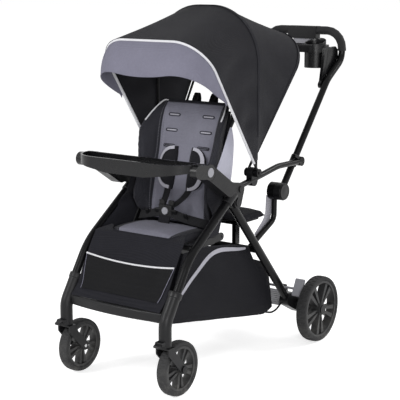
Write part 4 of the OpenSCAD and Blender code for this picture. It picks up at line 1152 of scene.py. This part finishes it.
def harness_slot(name, x, height, web):
    """A stitched frame on the pad's front face, with a strip of webbing showing in it."""
    near = (np.abs(across - x) < 9) & (np.abs(up - height) < 9)
    face = behind[near].min()
    angles = np.linspace(0, 2 * np.pi, 41)
    loop = on_back(x + SLOT_HALF_WIDTH * bulged(np.cos(angles), 0.35), face - 0.2,
                   height + SLOT_HALF_HEIGHT * bulged(np.sin(angles), 0.6))
    keep(cord_of(name, loop, SLOT_THREAD), "seat_back", black_cloth, "black_fabric")
    line = on_back(x + np.array((-WEB_HALF, 0, WEB_HALF)), face - 0.3, height)
    path = strap_path(line, UP_THE_BACK, WEB_WIDTH, 8)
    keep(sheet_of(name + "_web", (4, 16), path, WEB_THICK), "seat_back", web, "webbing")


for row, (height, web) in enumerate(SLOT_ROWS):
    for side, sign in SIDES:
        harness_slot(f"harness_slot_{side}_{row + 1}", sign * SLOT_X, height, web)
print("harness slots at", [height for height, _ in SLOT_ROWS], "mm up the back")

# %% [markdown]
# ## Harness
# The five-point harness has a padded sleeve on each shoulder strap, straps that come together at a buckle,
# two lap straps and a crotch strap. The sleeves are small stuffed pads with a straight inner edge and a
# bowed outer edge, which carries a pale ribbon. Straps between the seat back and the buckle bend when the
# back is reclined.

# %% Shoulder pads
SLEEVE_FOOT, SLEEVE_LENGTH, SLEEVE_LIFT, SLEEVE_BACK = 97, 132, 11.0, -1.5
RIBBON_HALF, RIBBON_FACE, RIBBON_RISE = 5, -12.0, 3.6


def bowed(v):
    return np.sqrt(np.maximum(0.0, 1 - np.abs(2 * v - 1) ** 3.0))


def sleeve_point(sign, u, v):
    """u from -1 at the inner edge to 1 at the outer, v from 0 at the bottom to 1 at the top."""
    a = np.abs(2 * v - 1)
    outer, inner = 34 + 50 * bowed(v), 24 + 4 * a ** 4
    x = (inner + outer) / 2 + u * (outer - inner) / 2
    crown = (1 - np.abs(u) ** 3.2) * (1 - a ** 8)
    return on_back(sign * x, -4.5 - SLEEVE_LIFT * (0.25 + 0.75 * crown), SLEEVE_FOOT + SLEEVE_LENGTH * v)


def sleeve_edge(v):
    """Across and up along the bowed edge of a left sleeve, from below to above."""
    return np.stack([36 + 48 * bowed(v), SLEEVE_FOOT + SLEEVE_LENGTH * v], -1)


def ribbon_point(sign, u, v):
    """On the sleeve's bowed edge, u from -1, 10 mm inside it, to 1 on it."""
    way = square_to(sleeve_edge(np.clip(v + 0.02, 0.0, 1.0)) - sleeve_edge(np.clip(v - 0.02, 0.0, 1.0)))
    q = sleeve_edge(v) + way * ((1 - u) * RIBBON_HALF)[:, None]
    rise = RIBBON_RISE * (1 - u) * np.sin(np.pi * np.clip(v, 0, 1)) ** 0.5
    return on_back(sign * q[:, 0], RIBBON_FACE - rise, q[:, 1])


for side, sign in SIDES:
    sleeve = sheet_of(f"shoulder_pad_{side}", (18, 36), lambda u, v: sleeve_point(sign, u, v), 0.8)
    x, depth, height = from_back(points_of(sleeve) / MM)
    rear_half = slice(len(x) // 2, None)
    depth[rear_half] = np.maximum(depth[rear_half], SLEEVE_BACK)
    move_points(sleeve, on_back(x, depth, height) * MM)
    keep(sleeve, "seat_back", pad_cloth, "webbing", smooth=60)
    sewn(f"shoulder_pad_ribbon_{side}", (4, 60), lambda u, v: ribbon_point(sign, u, v), 1.6, "seat_back",
         stripe_cloth, "light_webbing", flat=(0.010, 0.17), held="laid", rests_on=[sleeve])
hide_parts("harness_pads")
print("shoulder pads of", len(depth), "points each")

# %% [markdown]
# The straps themselves are flat webbing, 22 mm wide over the shoulders and 26 mm across the lap. Each is a
# narrow sheet along a smooth line from its anchor to the buckle, with a moulded tongue where it ends.

# %% Harness straps and buckle
BUCKLE_Y = -248.0
ACROSS = (1, 0, 0)


def block(name, centre, size, edge, body, tilt=0.0):
    """A moulded block with a recess in its front face and rounded edges."""
    piece = add_shape(name, bpy.ops.mesh.primitive_cube_add, stretch=Vector(size) * MM, size=1,
                      location=Vector(centre) * MM, rotation=(tilt, 0, 0))
    press_faces(piece, lambda face: face.normal.y < -0.7, (0.26 * min(size[0], size[2]), -1.2))
    round_edges(piece, edge, 50)
    return keep(piece, body, joint_nylon, "frame_plastic")


for side, sign in SIDES:
    start = on_back(sign * 40.0, -9.0, 99.0)
    path = strap_path([start, (sign * 34, -205, 520), (sign * 24, -232, 502), (sign * 16, -246, 494)],
                      ACROSS, 22)
    sewn(f"shoulder_strap_{side}", STRAP_GRID, path, STRAP_THICK, None, strap_cloth, "webbing",
         flat=(0.022, 0.095), rests_on=[castings["buckle"]],
         blend=("front_frame", "seat_back", (0, BUCKLE_Y * MM, 0.495), (0, start[1] * MM, start[2] * MM)))
    path = strap_path([(sign * 20, -250, 477), (sign * 52, -250, 470), (sign * 88, -240, 461),
                       (sign * 122, -222, 452), (sign * 134, -208, 446)], (0, 0.55, 1), 26)
    sewn(f"lap_strap_{side}", STRAP_GRID, path, STRAP_THICK, "front_frame", strap_cloth, "webbing",
         flat=(0.026, 0.135), held="draped", rests_on=[seat_pad])
    block(f"strap_tongue_{side}", (sign * 17, -246, 504), (20, 7, 20), 2.5, "front_frame")
    block(f"lap_tongue_{side}", (sign * 29, -250, 478), (22, 8, 22), 3.0, "front_frame", 0.4)
    block(f"lap_slider_{side}", (sign * 72, -245, 466), (12, 7, 32), 2.0, "front_frame", 0.5)
path = strap_path([(0, -262, 447), (0, -259, 456), (0, -253, 466), (0, -249, 474)], ACROSS, 38)
crotch = sewn("crotch_strap_web", STRAP_GRID, path, 6.0, "front_frame", pad_cloth, "webbing", "crotch_strap",
              flat=(0.038, 0.03), rests_on=[seat_pad])
print("crotch strap", round(cut_area(crotch) * 1e4, 1), "cm2")

# %% [markdown]
# ## Basket
# The storage basket is a bag: floor, front and back are one cloth that sags between its sides, and the
# sides belly out a little. It is made as a grid for each and the grids are merged at their edges into one
# shell. A pale ribbon swings along each side, and tape binds the rim. The back of the basket hangs on the
# rear frame, so the cloth gathers when the stroller folds.

# %% Basket shell
BASKET_HALF, BASKET_SEAM_HALF, BASKET_SAG, WALL_BELLY, WALL_RIPPLE = 144.0, 140.5, 9, 5.5, 1.3
BASKET_FOLD = ("front_frame", "rear_frame", (0, -0.40, 0.28), (0, 0.10, 0.28))
bed_line = smooth_line([(-352, 386), (-396, 296), (-436, 212), (-425, 199), (-300, 176), (-120, 144),
                        (40, 116), (80, 113), (116, 123), (119, 132), (106, 200), (92, 268)], 140)
rim_line = np.array([(-352, 386), (-338, 390), (-250, 390), (-120, 371), (-24, 351), (-17, 344), (-12, 322),
                     (-8, 308), (2, 303), (40, 290), (80, 274), (92, 268)], float)
rim_run = np.concatenate([[0], np.cumsum(np.linalg.norm(np.diff(rim_line, axis=0), axis=1))])


def rim_point(v):
    return np.stack([np.interp(v * rim_run[-1], rim_run, rim_line[:, i]) for i in (0, 1)], -1)


def bed_point(u, v):
    """Floor, front and back, v from the front rim round to the back one."""
    q = along_line(bed_line, v)
    slack = 1 - (u * BASKET_SEAM_HALF / BASKET_HALF) ** 2
    sag = BASKET_SAG * slack * step_between(v, 0.2, 0.35) * (1 - step_between(v, 0.75, 0.85))
    return np.stack([u * BASKET_SEAM_HALF, q[:, 0], q[:, 1] - sag], -1)


def wall_point(sign, w, v):
    """w from 0 on the floor seam to 1 on the rim, v from front to back."""
    low, high = along_line(bed_line, v), rim_point(v)
    q = low + (high - low) * w[:, None]
    ends = np.sin(np.pi * np.clip(v, 0, 1)) ** 0.6
    ripple = WALL_RIPPLE * np.sin(q[:, 0] / 33 + q[:, 1] / 21)
    belly = (WALL_BELLY + ripple) * np.sin(np.pi * w) * ends
    return np.column_stack([sign * (BASKET_SEAM_HALF + belly), q])


shell = bare_grid("storage_basket", (26, 120), bed_point)
walls = [bare_grid("wall", (24, 120), lambda u, v: wall_point(sign, (u + 1) / 2, v)) for _, sign in SIDES]
pick(shell)
for wall in walls:
    wall.select_set(True)
bpy.ops.object.join()
edit(shell)
bpy.ops.mesh.remove_doubles(threshold=0.6 * MM)
bpy.ops.mesh.normals_make_consistent(inside=False)
done()
apply_modifier(shell, "SOLIDIFY", thickness=1.8 * MM, offset=0)
keep(shell, None, basket_cloth, "black_fabric", "basket", smooth=50)
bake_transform(shell, *BASKET_FOLD)
print("basket", len(shell.data.polygons), "faces, cloth", round(cut_area(shell), 4), "m2")

# %% Basket ribbon and rim tape
many_w, many_v = (g.ravel() for g in np.meshgrid(np.linspace(0, 1, 70), np.linspace(0, 1, 240)))
wall_cloud = wall_point(1, many_w, many_v)
stripe_line = smooth_line([(-384, 262), (-356, 281), (-326, 302), (-263, 342), (-215, 362), (-170, 366),
                           (-125, 360), (-80, 352), (-36, 346)], 80)


def wall_x(q):
    """How far out the basket's side stands at points of the side view."""
    apart = (wall_cloud[None, :, 1] - q[:, None, 0]) ** 2 + (wall_cloud[None, :, 2] - q[:, None, 1]) ** 2
    return wall_cloud[apart.argmin(axis=1), 0]


STRIPE_END, STRIPE_SWELL, STRIPE_OFF = 3.0, 3.6, 1.6


def stripe_point(sign, u, v):
    q = band_point(stripe_line, u, v, STRIPE_END + STRIPE_SWELL * np.sin(np.pi * np.clip(v, 0, 1)) ** 0.6)
    return np.column_stack([sign * (wall_x(q) + STRIPE_OFF), q])


rims = []
for side, sign in SIDES:
    sewn(f"basket_ribbon_{side}", (3, 90), lambda u, v: stripe_point(sign, u, v), 1.0, None, stripe_cloth,
         "light_webbing", flat=(0.012, 0.385), rests_on=[shell], blend=BASKET_FOLD)
    rim = np.column_stack([np.full(90, sign * BASKET_SEAM_HALF), rim_point(np.linspace(0, 1, 90))])
    rims.append(keep(cord_of(f"basket_rim_{side}", rim, 5.0), None, black_cloth, "black_fabric"))
    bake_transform(rims[-1], *BASKET_FOLD)
print("basket rim", round(rim_run[-1]), "mm along each side")

# %% [markdown]
# ## Rear straps, wire and loops
# A broad pale strap hangs inside each fold strut and holds the jump seat's side. A bent wire under the
# back edge of the basket keeps it off the axle. Two loops at the top of the seat back are for letting it
# down.

# %% Rear belts, wire and recline loops
BELT_X, BELT_HALF, LOOP_X = 112.3, 17.0, 32.0
belt_line = smooth_line([(142, 484), (140, 449), (136, 423), (120, 397), (92, 373), (70, 356)], 50)
LOOP_DEPTHS, LOOP_HEIGHTS = np.array((44.5, 47, 58, 70, 62)), np.array((330.0, 376, 404, 384, 352))
WIRE_HALF = [(146, 184, 148), (146, 160, 122), (143, 128, 107), (120, 112, 104)]


def belt_point(sign, u, v):
    q = band_point(belt_line, u, v, BELT_HALF)
    return np.column_stack([sign * (BELT_X + 0.5 * np.sin(9 * v) * u), q])


for side, sign in SIDES:
    sewn(f"jump_seat_belt_{side}", (6, 50), lambda u, v: belt_point(sign, u, v), 2.0, "rear_frame",
         pale_strap_cloth, "light_webbing", flat=(0.036, 0.155), held="hung", rests_on=["fold_struts"])
    cap(f"belt_rivet_{side}", (sign * 113.6, 104, 378), 5, 7, 0.3, "rear_frame", axle_steel, "steel")
    path = strap_path(on_back(sign * LOOP_X, LOOP_DEPTHS, LOOP_HEIGHTS), ACROSS, 18)
    sewn(f"recline_loop_{side}", STRAP_GRID, path, STRAP_THICK, "seat_back", strap_cloth, "webbing",
         flat=(0.018, 0.13), held="hung", rests_on=[back_pad])
    clip_place = on_back(sign * LOOP_X, 47.0, 352.0)
    block(f"recline_clip_{side}", clip_place, (26, 8, 18), 2.5, "seat_back", -BACK_TILT)
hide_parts("bench_belt")
wire_line = [*WIRE_HALF, (0, 110, 103), *((-x, y, z) for x, y, z in reversed(WIRE_HALF))]
wire = keep(cord_of("basket_wire", wire_line, 6.0, 90), "rear_frame", tube_enamel, "frame_metal")
print("basket wire", len(wire.data.polygons), "faces")
